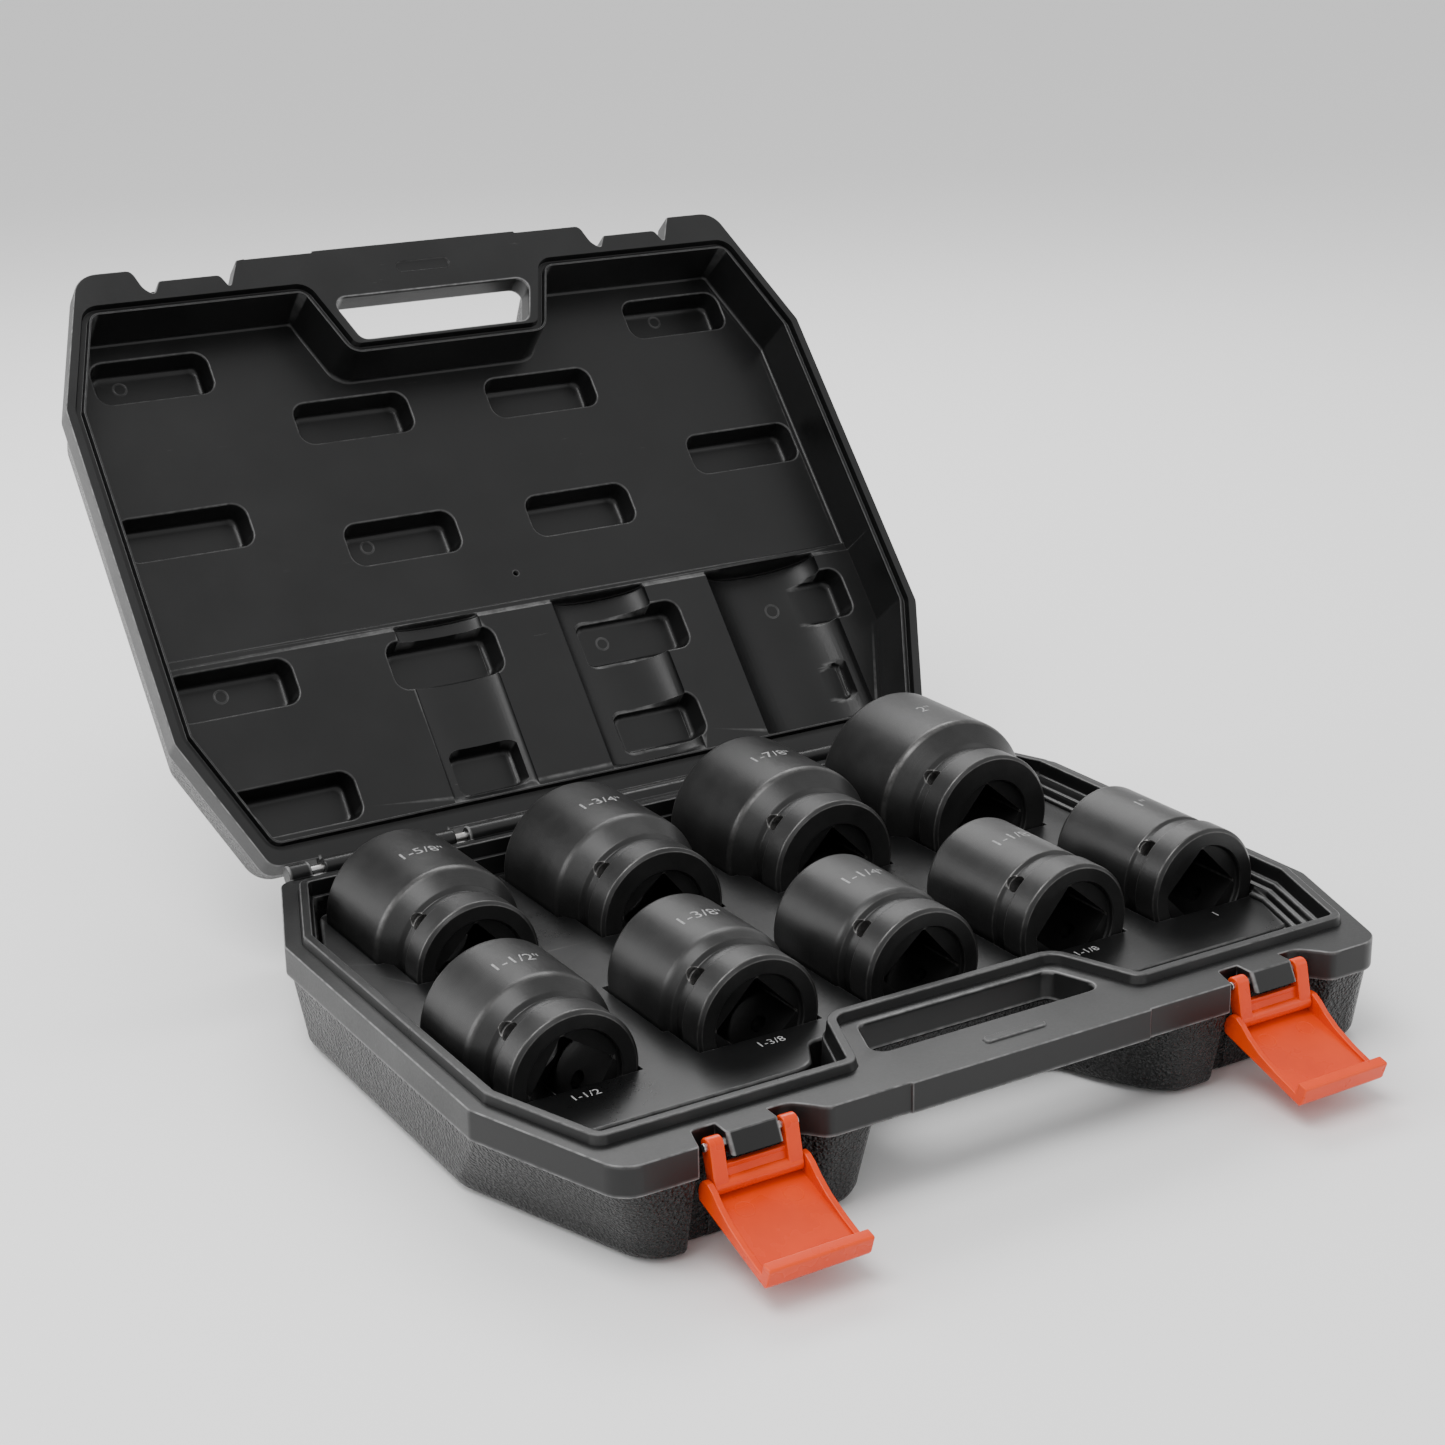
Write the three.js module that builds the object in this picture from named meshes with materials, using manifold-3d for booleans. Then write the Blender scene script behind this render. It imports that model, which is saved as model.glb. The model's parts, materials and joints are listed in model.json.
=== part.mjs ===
// Impact socket set in a hinged carrying case, millimetres.
// +X runs along the hinge, +Y points back to the hinge, +Z is up.
// The origin is on the floor under the middle of the case.
import * as THREE from 'three';
import { mergeVertices } from 'three/addons/utils/BufferGeometryUtils.js';
import Module from 'manifold-3d';

const wasm = await Module();
wasm.setup();

// ---- driving dimensions ----
const INCH = 25.4;
const GAP = 0.3;                  // clearance between separate pieces

const CASE_HALF_W = 188;          // rim outline, half width
const CASE_HALF_D = 143.4;        // rim outline, half depth
const FRONT_CORNER_X = 165.6;
const FRONT_CORNER_Y = 79.4;
const BACK_CORNER_X = 164.6;
const BACK_CORNER_Y = 81.7;

const BASE_H = 45;                // floor to rim
const LID_H = 41;                 // rim to the lid's outer face
const BAND_H = 12;                // smooth band beside the rim
const BAND_STEP = 2;              // how far the band stands proud of the wall
const WALL = 2;                   // moulded skin
const TRAY_WALL = 1.4;
const DECK_DROP = 10;             // rim down to the tray's deck

const BEAD_H = 3.4;               // sealing bead round the tray
const BEAD_W = 4;

const HOLE_BACK_Y = 97;           // hand hole, distances in front of the middle
const HOLE_FRONT_Y = 120;
const HOLE_BACK_HALF = 43;
const HOLE_FRONT_HALF = 51.5;
const BAY_FRONT_HALF = 65;
const BAR_HALF = 52.4;
const BAR_BULGE = 2.8;

const LATCH_X = 113.9;            // latch centre
const RECESS_IN_X = 90;
const RECESS_OUT_X = 137.7;
const RECESS_Y = 134.5;
const TONGUE_HALF = 10;
const TONGUE_Y = 142;
const TONGUE_H = 7.2;

const LINK_PIN = { y: -139, z: BASE_H - 4.2 };
const LINK_L = 13.8;
const LINK_LEAN = THREE.MathUtils.degToRad(15);
const LEVER_PIN = {
  y: LINK_PIN.y - LINK_L * Math.sin(LINK_LEAN),
  z: LINK_PIN.z - LINK_L * Math.cos(LINK_LEAN),
};
const LEVER_DROOP = THREE.MathUtils.degToRad(18);
const LEVER_L = 41.4;
const LEVER_HALF = 20.2;
const LEDGE_H = 19;               // lid ledge that the lever's lip hooks over

const HINGE_Y = 148.3;
const HINGE_R = 4.3;
const HINGE_PIN_R = 2;
const LID_OPEN = THREE.MathUtils.degToRad(130.4);

const FIELD_UPPER = 25;           // depth of the lid liner in front of the ridge
const FIELD_LOWER = 23.2;         // and behind it
const RIDGE_Y = 37;
const LINER_WALL = 1.6;
const LINER_DRAFT = 5;             // how far the liner's wall leans in over its depth
const POCKET_DEPTH = 36.5;
const POCKET_W = 56;
const POCKET_D = 20.5;

const DRIVE = INCH;               // one inch square drive
const FRONT_ROW_Y = -67.5;        // drive faces of the front row
const BACK_ROW_Y = 42;
const SHORT_L = 65.5;
const LONG_L = 78;
const END_ROOM = 4.4;             // room in a trough beyond each end of its socket

// hex size in inches, bolt end and drive end diameters, place and depth of the axis under the rim
const SOCKETS = [
  { name: '1_1_2', hex: 1.5, bolt: 60, drive: 52, boltL: 38.5, x: -141, sunk: 7.3, back: false },
  { name: '1_3_8', hex: 1.375, bolt: 56.5, drive: 52, boltL: 41, x: -65, sunk: 5.5, back: false },
  { name: '1_1_4', hex: 1.25, bolt: 54, drive: 52, boltL: 43, x: 8, sunk: 4.3, back: false },
  { name: '1_1_8', hex: 1.125, bolt: 51, drive: 52, boltL: 44, x: 80, sunk: 2.8, back: false },
  { name: '1', hex: 1, bolt: 50, drive: 52, boltL: 44, x: 146, sunk: 2.3, back: false },
  { name: '1_5_8', hex: 1.625, bolt: 63.5, drive: 52.5, boltL: 50, x: -124, sunk: 9.3, back: true },
  { name: '1_3_4', hex: 1.75, bolt: 67, drive: 56.5, boltL: 48, x: -42, sunk: 7.5, back: true },
  { name: '1_7_8', hex: 1.875, bolt: 71, drive: 58, boltL: 49.5, x: 41, sunk: 5.5, back: true },
  { name: '2', hex: 2, bolt: 76, drive: 60, boltL: 49.6, x: 122, sunk: 2.8, back: true },
];

// ---- materials ----
const blackPlastic = new THREE.MeshStandardMaterial({ color: 0x2b2c2d, roughness: 0.55 });
const trayPlastic = new THREE.MeshStandardMaterial({ color: 0x262728, roughness: 0.5 });
const orangePlastic = new THREE.MeshStandardMaterial({ color: 0xfa4a1c, roughness: 0.35 });
const darkSteel = new THREE.MeshStandardMaterial({ color: 0x3a3b3d, roughness: 0.5, metalness: 0.6 });
const brightSteel = new THREE.MeshStandardMaterial({ color: 0xb8b9bb, roughness: 0.3, metalness: 1 });

// ---- solids ----
function solid(geometry) {
  geometry.deleteAttribute('normal');
  geometry.deleteAttribute('uv');
  const merged = mergeVertices(geometry, 1e-4);
  return new wasm.Manifold(new wasm.Mesh({
    numProp: 3,
    vertProperties: Float32Array.from(merged.attributes.position.array),
    triVerts: Uint32Array.from(merged.index.array),
  }));
}

function box(x0, x1, y0, y1, z0, z1) {
  const geometry = new THREE.BoxGeometry(x1 - x0, y1 - y0, z1 - z0);
  geometry.translate((x0 + x1) / 2, (y0 + y1) / 2, (z0 + z1) / 2);
  return solid(geometry);
}

function shapeOf(points) {
  return new THREE.Shape(points.map(([x, y]) => new THREE.Vector2(x, y)));
}

// upright prism over a plan outline
function prism(points, z0, z1) {
  const geometry = new THREE.ExtrudeGeometry(shapeOf(points), { depth: z1 - z0, bevelEnabled: false });
  geometry.translate(0, 0, z0);
  return solid(geometry);
}

// prism of a (y, z) outline running along X
function prismX(points, x0, x1) {
  const geometry = new THREE.ExtrudeGeometry(shapeOf(points), { depth: x1 - x0, bevelEnabled: false });
  geometry.applyMatrix4(new THREE.Matrix4().set(0, 0, 1, x0, 1, 0, 0, 0, 0, 1, 0, 0, 0, 0, 0, 1));
  return solid(geometry);
}

// body of outlines stacked at several heights, every outline with the same corners
function stack(layers) {
  const [first] = layers;
  const geometry = new THREE.ExtrudeGeometry(shapeOf(first.outline), {
    depth: layers.length - 1,
    steps: layers.length - 1,
    bevelEnabled: false,
  });
  const place = geometry.attributes.position;
  for (let i = 0; i < place.count; i += 1) {
    const layer = layers[Math.round(place.getZ(i))];
    const corner = first.outline.findIndex(([x, y]) => (
      Math.hypot(x - place.getX(i), y - place.getY(i)) < 1e-3));
    const [x, y] = layer.outline[corner];
    place.setXYZ(i, x, y, layer.z);
  }
  return solid(geometry);
}

function rodX(radius, x0, x1, y, z, sides = 20) {
  const geometry = new THREE.CylinderGeometry(radius, radius, x1 - x0, sides);
  geometry.rotateZ(Math.PI / 2);
  geometry.translate((x0 + x1) / 2, y, z);
  return solid(geometry);
}

function join(solids) {
  return solids.reduce((sum, next) => sum.add(next));
}

function cut(body, tools) {
  return tools.reduce((rest, tool) => rest.subtract(tool), body);
}

function mesh(name, body, material) {
  const data = body.getMesh();
  const geometry = new THREE.BufferGeometry();
  geometry.setAttribute('position', new THREE.BufferAttribute(data.vertProperties, 3));
  geometry.setIndex(new THREE.BufferAttribute(data.triVerts, 1));
  geometry.computeVertexNormals();
  const node = new THREE.Mesh(geometry, material);
  node.name = name;
  return node;
}

// ---- plan outlines, counter-clockwise ----
function mirrored(rightSide) {
  const leftSide = rightSide.map(([x, y]) => [-x, y]).reverse();
  return [...rightSide, ...leftSide];
}

// the outline moved inwards by d (outwards when negative)
function inset(outline, d) {
  const count = outline.length;
  return outline.map(([x, y], i) => {
    const [px, py] = outline[(i + count - 1) % count];
    const [nx, ny] = outline[(i + 1) % count];
    const before = new THREE.Vector2(x - px, y - py).normalize();
    const after = new THREE.Vector2(nx - x, ny - y).normalize();
    const inBefore = new THREE.Vector2(-before.y, before.x);
    const inAfter = new THREE.Vector2(-after.y, after.x);
    const miter = inBefore.clone().add(inAfter).divideScalar(1 + inBefore.dot(inAfter));
    return [x + miter.x * d, y + miter.y * d];
  });
}

// each corner of a convex or concave outline replaced by an arc
function rounded(outline, radius, steps = 3) {
  const count = outline.length;
  return outline.flatMap(([x, y], i) => {
    const corner = new THREE.Vector2(x, y);
    const back = new THREE.Vector2(...outline[(i + count - 1) % count]).sub(corner).normalize();
    const ahead = new THREE.Vector2(...outline[(i + 1) % count]).sub(corner).normalize();
    const half = back.angleTo(ahead) / 2;
    const reach = radius / Math.tan(half);
    const centre = back.clone().add(ahead).normalize().multiplyScalar(radius / Math.sin(half));
    const start = back.clone().multiplyScalar(reach).sub(centre);
    const end = ahead.clone().multiplyScalar(reach).sub(centre);
    const sweep = Math.atan2(start.cross(end), start.dot(end));
    return Array.from({ length: steps + 1 }, (_, k) => {
      const spoke = start.clone().rotateAround(new THREE.Vector2(), (sweep * k) / steps);
      return [corner.x + centre.x + spoke.x, corner.y + centre.y + spoke.y];
    });
  });
}

// the case's plan outline, moved in by d
function rimLoop(d) {
  const sharp = mirrored([
    [FRONT_CORNER_X, -CASE_HALF_D],
    [CASE_HALF_W, -FRONT_CORNER_Y],
    [CASE_HALF_W, BACK_CORNER_Y],
    [BACK_CORNER_X, CASE_HALF_D],
  ]);
  return rounded(inset(sharp, d), 8, 2);
}

// the sealing bead's outer foot, moved in by d
function beadLoop(d) {
  const sharp = mirrored([
    [49, -92],
    [62, -126.5],
    [164.2, -126.3],
    [181, -78],
    [181, 79.5],
    [160.3, 134.1],
  ]);
  return rounded(inset(sharp, d), 5, 2);
}

const HOLE = rounded(mirrored([
  [HOLE_FRONT_HALF, -HOLE_FRONT_Y],
  [HOLE_BACK_HALF, -HOLE_BACK_Y],
]), 5, 3);

// open bay under the handle bar
const BAY = mirrored([
  [BAY_FRONT_HALF + 5, -CASE_HALF_D - 10],
  [BAY_FRONT_HALF, -CASE_HALF_D + 2],
  [HOLE_FRONT_HALF + 0.5, -HOLE_FRONT_Y],
  [HOLE_BACK_HALF + 2, -HOLE_BACK_Y],
]);

// ---- outer skins ----
// One half of the case standing on its outer face: solid outside less the space inside.
function outerSkin(height, openingGrowth) {
  const bandZ = height - BAND_H;
  const outside = stack([
    { z: 0, outline: rimLoop(12) },
    { z: 3.5, outline: rimLoop(8.3) },
    { z: 10, outline: rimLoop(6.2) },
    { z: bandZ, outline: rimLoop(BAND_STEP) },
  ]);
  const band = prism(rimLoop(0), bandZ, height);
  const bar = box(-BAR_HALF, BAR_HALF, -CASE_HALF_D - BAR_BULGE, -CASE_HALF_D + 3, bandZ, height);
  const bay = prism(BAY, -1, bandZ);
  const hole = prism(HOLE, -1, height + 1);
  const inside = cut(stack([
    { z: WALL, outline: rimLoop(13) },
    { z: 5, outline: rimLoop(10.3) },
    { z: 11, outline: rimLoop(8.3) },
    { z: bandZ, outline: rimLoop(4.9) },
    { z: height - WALL, outline: rimLoop(4.9) },
  ]), [
    prism(inset(BAY, -WALL), -2, bandZ + WALL),
    prism(inset(HOLE, -WALL), -2, height + 2),
  ]);
  const opening = prism(beadLoop(-openingGrowth), height - 2 * WALL, height + 1);
  return cut(join([outside, band, bar]), [bay, hole, inside, opening]);
}

// latch bays run down the front wall of the base, one at each latch
function latchBay(side, z0, z1, grow = 0) {
  const edges = [side * (RECESS_IN_X - grow), side * (RECESS_OUT_X + grow)].sort((a, b) => a - b);
  return box(edges[0], edges[1], -CASE_HALF_D - 12, -RECESS_Y + grow, z0, z1);
}

function hingeKnuckles(spans, y, z, webZ) {
  return spans.flatMap(([x0, x1]) => [
    rodX(HINGE_R, x0, x1, y, z, 16),
    box(x0, x1, CASE_HALF_D - 3, HINGE_Y - 0.5, Math.min(z, webZ), Math.max(z, webZ)),
  ]);
}

const BASE_KNUCKLES = [[-160, -150], [-78, -46], [46, 78], [150, 160]];
const LID_KNUCKLES = [[-144, -84], [84, 144]];

function baseShell() {
  let shell = outerSkin(BASE_H, 0);
  for (const side of [-1, 1]) {
    // the bay's own wall first, then the bay
    const lining = latchBay(side, 0, BASE_H, WALL).intersect(prism(rimLoop(3), 3, BASE_H));
    shell = shell.add(lining).subtract(latchBay(side, -1, BASE_H + 1));
    const tongue = box(side * LATCH_X - TONGUE_HALF, side * LATCH_X + TONGUE_HALF,
      -TONGUE_Y, -RECESS_Y + 1, BASE_H - TONGUE_H, BASE_H);
    const pinHole = rodX(1.5 + GAP, side * LATCH_X - 12, side * LATCH_X + 12, LINK_PIN.y, LINK_PIN.z, 12);
    shell = shell.add(tongue).subtract(pinHole);
  }
  shell = join([shell, ...hingeKnuckles(BASE_KNUCKLES, HINGE_Y, BASE_H, BASE_H - HINGE_R)]);
  return shell.subtract(rodX(HINGE_PIN_R + GAP, -170, 170, HINGE_Y, BASE_H, 12));
}

// ---- tray ----
function axisHeight(socket) {
  return BASE_H - socket.sunk;
}

function socketSpan(socket) {
  const y0 = socket.back ? BACK_ROW_Y : FRONT_ROW_Y;
  return [y0, y0 + (socket.back ? LONG_L : SHORT_L)];
}

// U-shaped trough for one socket, grown on every side
function trough(socket, grow, top) {
  const [y0, y1] = socketSpan(socket);
  const radius = Math.max(socket.bolt, socket.drive) / 2 + grow;
  const z = axisHeight(socket);
  const reach = grow + END_ROOM;
  const geometry = new THREE.CylinderGeometry(radius, radius, y1 - y0 + 2 * reach, 28);
  geometry.translate(socket.x, (y0 + y1) / 2, z);
  const round = solid(geometry);
  const upper = box(socket.x - radius, socket.x + radius,
    y0 - reach, y1 + reach, z, top + 20);
  return join([round, upper]).intersect(box(-300, 300, -300, 300, -50, top));
}

function baseTray() {
  const deckZ = BASE_H - DECK_DROP;
  const clearance = 0.4;
  const rim = prism(beadLoop(GAP), deckZ - TRAY_WALL, BASE_H + BEAD_H);
  const well = prism(beadLoop(BEAD_W), deckZ, BASE_H + BEAD_H + 1);
  let tray = rim.subtract(well);
  for (const socket of SOCKETS) {
    tray = tray.add(trough(socket, clearance + TRAY_WALL, deckZ));
  }
  for (const socket of SOCKETS) {
    tray = tray.subtract(trough(socket, clearance, BASE_H + 50));
  }
  return tray;
}

// ---- lid, built closed with the rim at z = 0 and the hinge at its real place ----
function lidShell() {
  const upsideDown = outerSkin(LID_H, 2.5);
  // turned over about X, so that front stays front after the mirror in Z
  let shell = upsideDown.mirror([0, 0, 1]).translate([0, 0, LID_H + GAP / 2]);
  for (const side of [-1, 1]) {
    const lining = latchBay(side, 0, LEDGE_H + 7 + WALL, WALL)
      .intersect(prism(rimLoop(3.5), GAP, LID_H - 4));
    shell = shell.add(lining).subtract(latchBay(side, -1, LEDGE_H + 7));
    shell = shell.add(box(side * LATCH_X - 14.5, side * LATCH_X + 14.5,
      -138.5, -RECESS_Y + 1, GAP / 2, LEDGE_H));
  }
  shell = join([shell, ...hingeKnuckles(LID_KNUCKLES, HINGE_Y, 0, HINGE_R)]);
  return shell.subtract(rodX(HINGE_PIN_R + GAP, -170, 170, HINGE_Y, 0, 12));
}

// shallow round-cornered pocket in the liner
function pocket(x, y, grow, z0, z1) {
  const halfW = POCKET_W / 2 + grow;
  const halfD = POCKET_D / 2 + grow;
  const outline = rounded([
    [x + halfW, y - halfD], [x + halfW, y + halfD], [x - halfW, y + halfD], [x - halfW, y - halfD],
  ], 5, 2);
  return prism(outline, z0, z1);
}

const POCKETS = [
  [-138.5, -103.6], [138.5, -103.6], [-49, -70.5], [49, -70.5],
  [-148, -25], [148, -25], [-50, -6], [50, -6],
  [-147.5, 53.5], [-48.5, 57], [48.5, 60], [141.5, 59.5],
  [-137, 111], [-50, 108], [48, 107], [139.5, 103],
];

// half-round hollow over one of the three largest sockets
function hollow(socket, grow) {
  const radius = socket.bolt / 2 + 1 + grow;
  const geometry = new THREE.CylinderGeometry(radius, radius, 84 + 2 * grow, 40);
  geometry.translate(socket.x, 81, -socket.sunk);
  return solid(geometry).intersect(box(-300, 300, -300, 300, FIELD_LOWER - 1, 60));
}

// the space inside the lid's skin, less a margin
function lidInside(margin) {
  return stack([
    { z: -1, outline: rimLoop(5 + margin) },
    { z: BAND_H, outline: rimLoop(5 + margin) },
    { z: LID_H - 11, outline: rimLoop(8.4 + margin) },
    { z: LID_H - 5, outline: rimLoop(10.4 + margin) },
    { z: LID_H - WALL - margin, outline: rimLoop(13 + margin) },
  ]);
}

function lidLiner() {
  const large = SOCKETS.filter((socket) => socket.hex > 1.7);
  const outer = cut(stack([
    { z: GAP / 2, outline: beadLoop(-0.5 - LINER_WALL) },
    { z: FIELD_UPPER + LINER_WALL, outline: beadLoop(LINER_DRAFT - 0.5 - LINER_WALL) },
  ]), [
    box(-300, 300, RIDGE_Y + LINER_WALL, 300, FIELD_LOWER + LINER_WALL, 100),
  ]);
  const inner = cut(stack([
    { z: GAP / 2 - 0.5, outline: beadLoop(-0.5) },
    { z: FIELD_UPPER, outline: beadLoop(LINER_DRAFT - 0.5) },
  ]), [
    box(-300, 300, RIDGE_Y, 300, FIELD_LOWER, 100),
  ]);
  const limit = lidInside(GAP);
  const bosses = [
    ...POCKETS.map(([x, y]) => pocket(x, y, LINER_WALL, FIELD_LOWER, POCKET_DEPTH + LINER_WALL)),
    ...large.map((socket) => hollow(socket, LINER_WALL)),
  ];
  const holes = [
    ...POCKETS.map(([x, y]) => pocket(x, y, 0, FIELD_LOWER - 2, POCKET_DEPTH)),
    ...large.map((socket) => hollow(socket, 0)),
  ];
  const hollows = join(holes).intersect(lidInside(GAP + LINER_WALL));
  return cut(outer.add(join(bosses).intersect(limit)), [inner, hollows]);
}

// ---- latches, built about their own pins ----
function latchLink() {
  const reach = new THREE.Vector2(-LINK_L * Math.sin(LINK_LEAN), -LINK_L * Math.cos(LINK_LEAN));
  const armAt = (x0, x1) => {
    const side = new THREE.Vector2(-reach.y, reach.x).normalize();
    const web = [[1, 0, 3.3], [1, 1, 2.8], [-1, 1, 2.8], [-1, 0, 3.3]].map(([s, t, r]) => (
      [reach.x * t + side.x * s * r, reach.y * t + side.y * s * r]));
    return join([prismX(web, x0, x1), rodX(3.3, x0, x1, 0, 0, 12), rodX(2.8, x0, x1, reach.x, reach.y, 12)]);
  };
  const tie = box(-12, 12, reach.x * 0.55 - 1, reach.x * 0.55 + 1.4, -8.4, -6.6);
  const foot = rodX(2.8, -17.4, 17.4, reach.x, reach.y, 12);
  const trunnions = rodX(1.6, -20, 20, reach.x, reach.y, 10);
  const eye = rodX(1.5 + GAP, -25, 25, 0, 0, 12);
  return join([armAt(-17.4, -11.4), armAt(11.4, 17.4), tie, foot, trunnions]).subtract(eye);
}

// lever profile in (outward, up) from its pin, then drooped
function latchLever() {
  const plate = [[-2, -6], [LEVER_L, -6], [LEVER_L, 2.6], [LEVER_L - 4.4, 2.6], [LEVER_L - 4.4, -3.4], [-2, -3.4]];
  const cheek = [
    [-3.4, -3.4], [-3.4, 0], [-2, 2.6], [0, 3.4], [3, 3], [8, 1.2], [16, -1.2], [25, -2.4],
    [LEVER_L - 4, -2.6], [LEVER_L - 4, -6], [-2, -6],
  ].reverse();
  const turned = (points) => points.map(([u, v]) => {
    const spot = new THREE.Vector2(-u, v).rotateAround(new THREE.Vector2(), LEVER_DROOP);
    return [spot.x, spot.y];
  });
  const web = turned(plate).reverse();
  const cheekOutline = turned(cheek).reverse();
  const cheekInner = LEVER_HALF - 2.4;
  const body = join([
    prismX(web, -LEVER_HALF, LEVER_HALF),
    prismX(cheekOutline, -LEVER_HALF, -cheekInner),
    prismX(cheekOutline, cheekInner, LEVER_HALF),
  ]);
  return body.subtract(rodX(1.6 + GAP, -25, 25, 0, 0, 12));
}

// ---- sockets, along +Y from the drive face ----
function socketBody(socket) {
  const length = socket.back ? LONG_L : SHORT_L;
  const bolt = socket.bolt / 2;
  const drive = socket.drive / 2;
  const neck = drive - 2;
  const shoulder = length - socket.boltL;
  const grooveStart = 12;
  const grooveEnd = 20;
  const profile = [
    [0, 0], [drive - 1.8, 0], [drive, 1.8], [drive, grooveStart], [neck, grooveStart + 2],
    [neck, grooveEnd - 2], [Math.min(drive, bolt), grooveEnd], [bolt, shoulder],
    [bolt, length - 1.5], [bolt - 1.5, length], [0, length],
  ].map(([r, y]) => new THREE.Vector2(r, y));
  const outside = solid(new THREE.LatheGeometry(profile, 26));

  const driveMouth = new THREE.CylinderGeometry(18.75, 18.75, 5, 24);
  const square = new THREE.CylinderGeometry(DRIVE / Math.SQRT2, DRIVE / Math.SQRT2, 60, 4);
  const hexR = (socket.hex * INCH) / Math.sqrt(3);
  const hexDepth = length - 34;
  const hex = new THREE.CylinderGeometry(hexR, hexR, 2 * hexDepth, 6);
  hex.translate(0, length, 0);
  const bore = new THREE.CylinderGeometry(11, 11, 2 * length, 20);
  const pinHole = new THREE.CylinderGeometry(3, 3, 100, 12);
  pinHole.rotateZ(Math.PI / 2);
  pinHole.rotateY(Math.PI / 4);
  pinHole.translate(0, (grooveStart + grooveEnd) / 2, 0);
  return cut(outside, [driveMouth, square, hex, bore, pinHole].map(solid));
}

// ---- assembly ----
const part = new THREE.Group();
part.add(mesh('base_shell', baseShell(), blackPlastic));
part.add(mesh('base_tray', baseTray(), trayPlastic));

const lid = new THREE.Group();
lid.position.set(0, HINGE_Y, BASE_H);
lid.rotation.x = -LID_OPEN;
const lidParts = [
  mesh('lid_shell', lidShell(), blackPlastic),
  mesh('lid_liner', lidLiner(), trayPlastic),
];
for (const piece of lidParts) {
  piece.position.y = -HINGE_Y;
  lid.add(piece);
}
part.add(lid);

for (const [side, word] of [[-1, 'left'], [1, 'right']]) {
  const hingePin = rodX(HINGE_PIN_R, 47, 159, HINGE_Y, BASE_H, 12);
  part.add(mesh(`hinge_pin_${word}`, side < 0 ? hingePin.mirror([1, 0, 0]) : hingePin, brightSteel));

  const latch = new THREE.Group();
  latch.position.set(side * LATCH_X, 0, 0);
  const latchPin = mesh(`latch_pin_${word}`, rodX(1.5, -18.4, 18.4, 0, 0, 12), brightSteel);
  latchPin.position.set(0, LINK_PIN.y, LINK_PIN.z);
  const link = mesh(`latch_link_${word}`, latchLink(), orangePlastic);
  link.position.copy(latchPin.position);
  const lever = mesh(`latch_lever_${word}`, latchLever(), orangePlastic);
  lever.position.set(0, LEVER_PIN.y, LEVER_PIN.z);
  latch.add(latchPin, link, lever);
  part.add(latch);
}

for (const socket of SOCKETS) {
  const piece = mesh(`socket_${socket.name}_in`, socketBody(socket), darkSteel);
  piece.position.set(socket.x, socketSpan(socket)[0], axisHeight(socket));
  part.add(piece);
}

export default part;
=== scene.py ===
"""Looks of the impact socket set in its case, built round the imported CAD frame.

Lengths are millimetres in the CAD frame until a piece is made, when they become metres.
"""
import json
import math

import bmesh
import bpy
import numpy as np
from mathutils import Matrix, Vector
from mathutils.geometry import delaunay_2d_cdt


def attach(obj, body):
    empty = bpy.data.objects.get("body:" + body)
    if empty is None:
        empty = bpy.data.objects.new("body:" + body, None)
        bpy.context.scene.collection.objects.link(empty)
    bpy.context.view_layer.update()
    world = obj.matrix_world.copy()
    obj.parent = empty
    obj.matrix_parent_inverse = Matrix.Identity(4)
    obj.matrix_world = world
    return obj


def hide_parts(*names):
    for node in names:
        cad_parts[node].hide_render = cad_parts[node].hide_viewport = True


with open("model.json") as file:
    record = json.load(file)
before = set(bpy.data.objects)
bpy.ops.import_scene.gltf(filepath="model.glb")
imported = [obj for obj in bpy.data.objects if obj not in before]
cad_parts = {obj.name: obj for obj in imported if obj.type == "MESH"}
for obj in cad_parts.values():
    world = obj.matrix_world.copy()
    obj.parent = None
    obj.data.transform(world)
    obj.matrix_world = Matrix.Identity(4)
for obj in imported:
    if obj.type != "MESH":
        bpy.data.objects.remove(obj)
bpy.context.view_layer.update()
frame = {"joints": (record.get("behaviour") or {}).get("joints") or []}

MM = 0.001
JOINTS = {joint["name"]: joint for joint in frame["joints"]}


def joint_place(name):
    return Vector(JOINTS[name]["pos_m"]) / MM


# ---- sizes, in step with the CAD ----
HINGE = joint_place("lid_hinge")
RIM_Z = HINGE.z
LID_OPEN = math.radians(-JOINTS["lid_hinge"]["range_deg"][0])
LID_TURN = Matrix.Translation(HINGE) @ Matrix.Rotation(-LID_OPEN, 4, "X") @ Matrix.Translation(-HINGE)
LID_H = 41.0
GAP = 0.3
BAND_H = 12.0
BAND_STEP = 2.0
EDGE_R = 0.55
BROAD_FACE = 0.8
PLATE = 8  # added to a face's finish number where the face is flat and takes no edge wear or painted edge highlight
FRONT_Y = -143.4
DECK_Z = RIM_Z - 10.0
CHANNEL_Z = RIM_Z - 24.0
BEAD_TOP = 3.4
FIELD_UPPER = 25.0
FIELD_LOWER = 23.2
POCKET_FLOOR = 36.2
LATCH_X = joint_place("link_right_pivot").x
BASE_OPENING = 0.6
LID_OPENING = 3.0
INCH = 25.4


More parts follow.
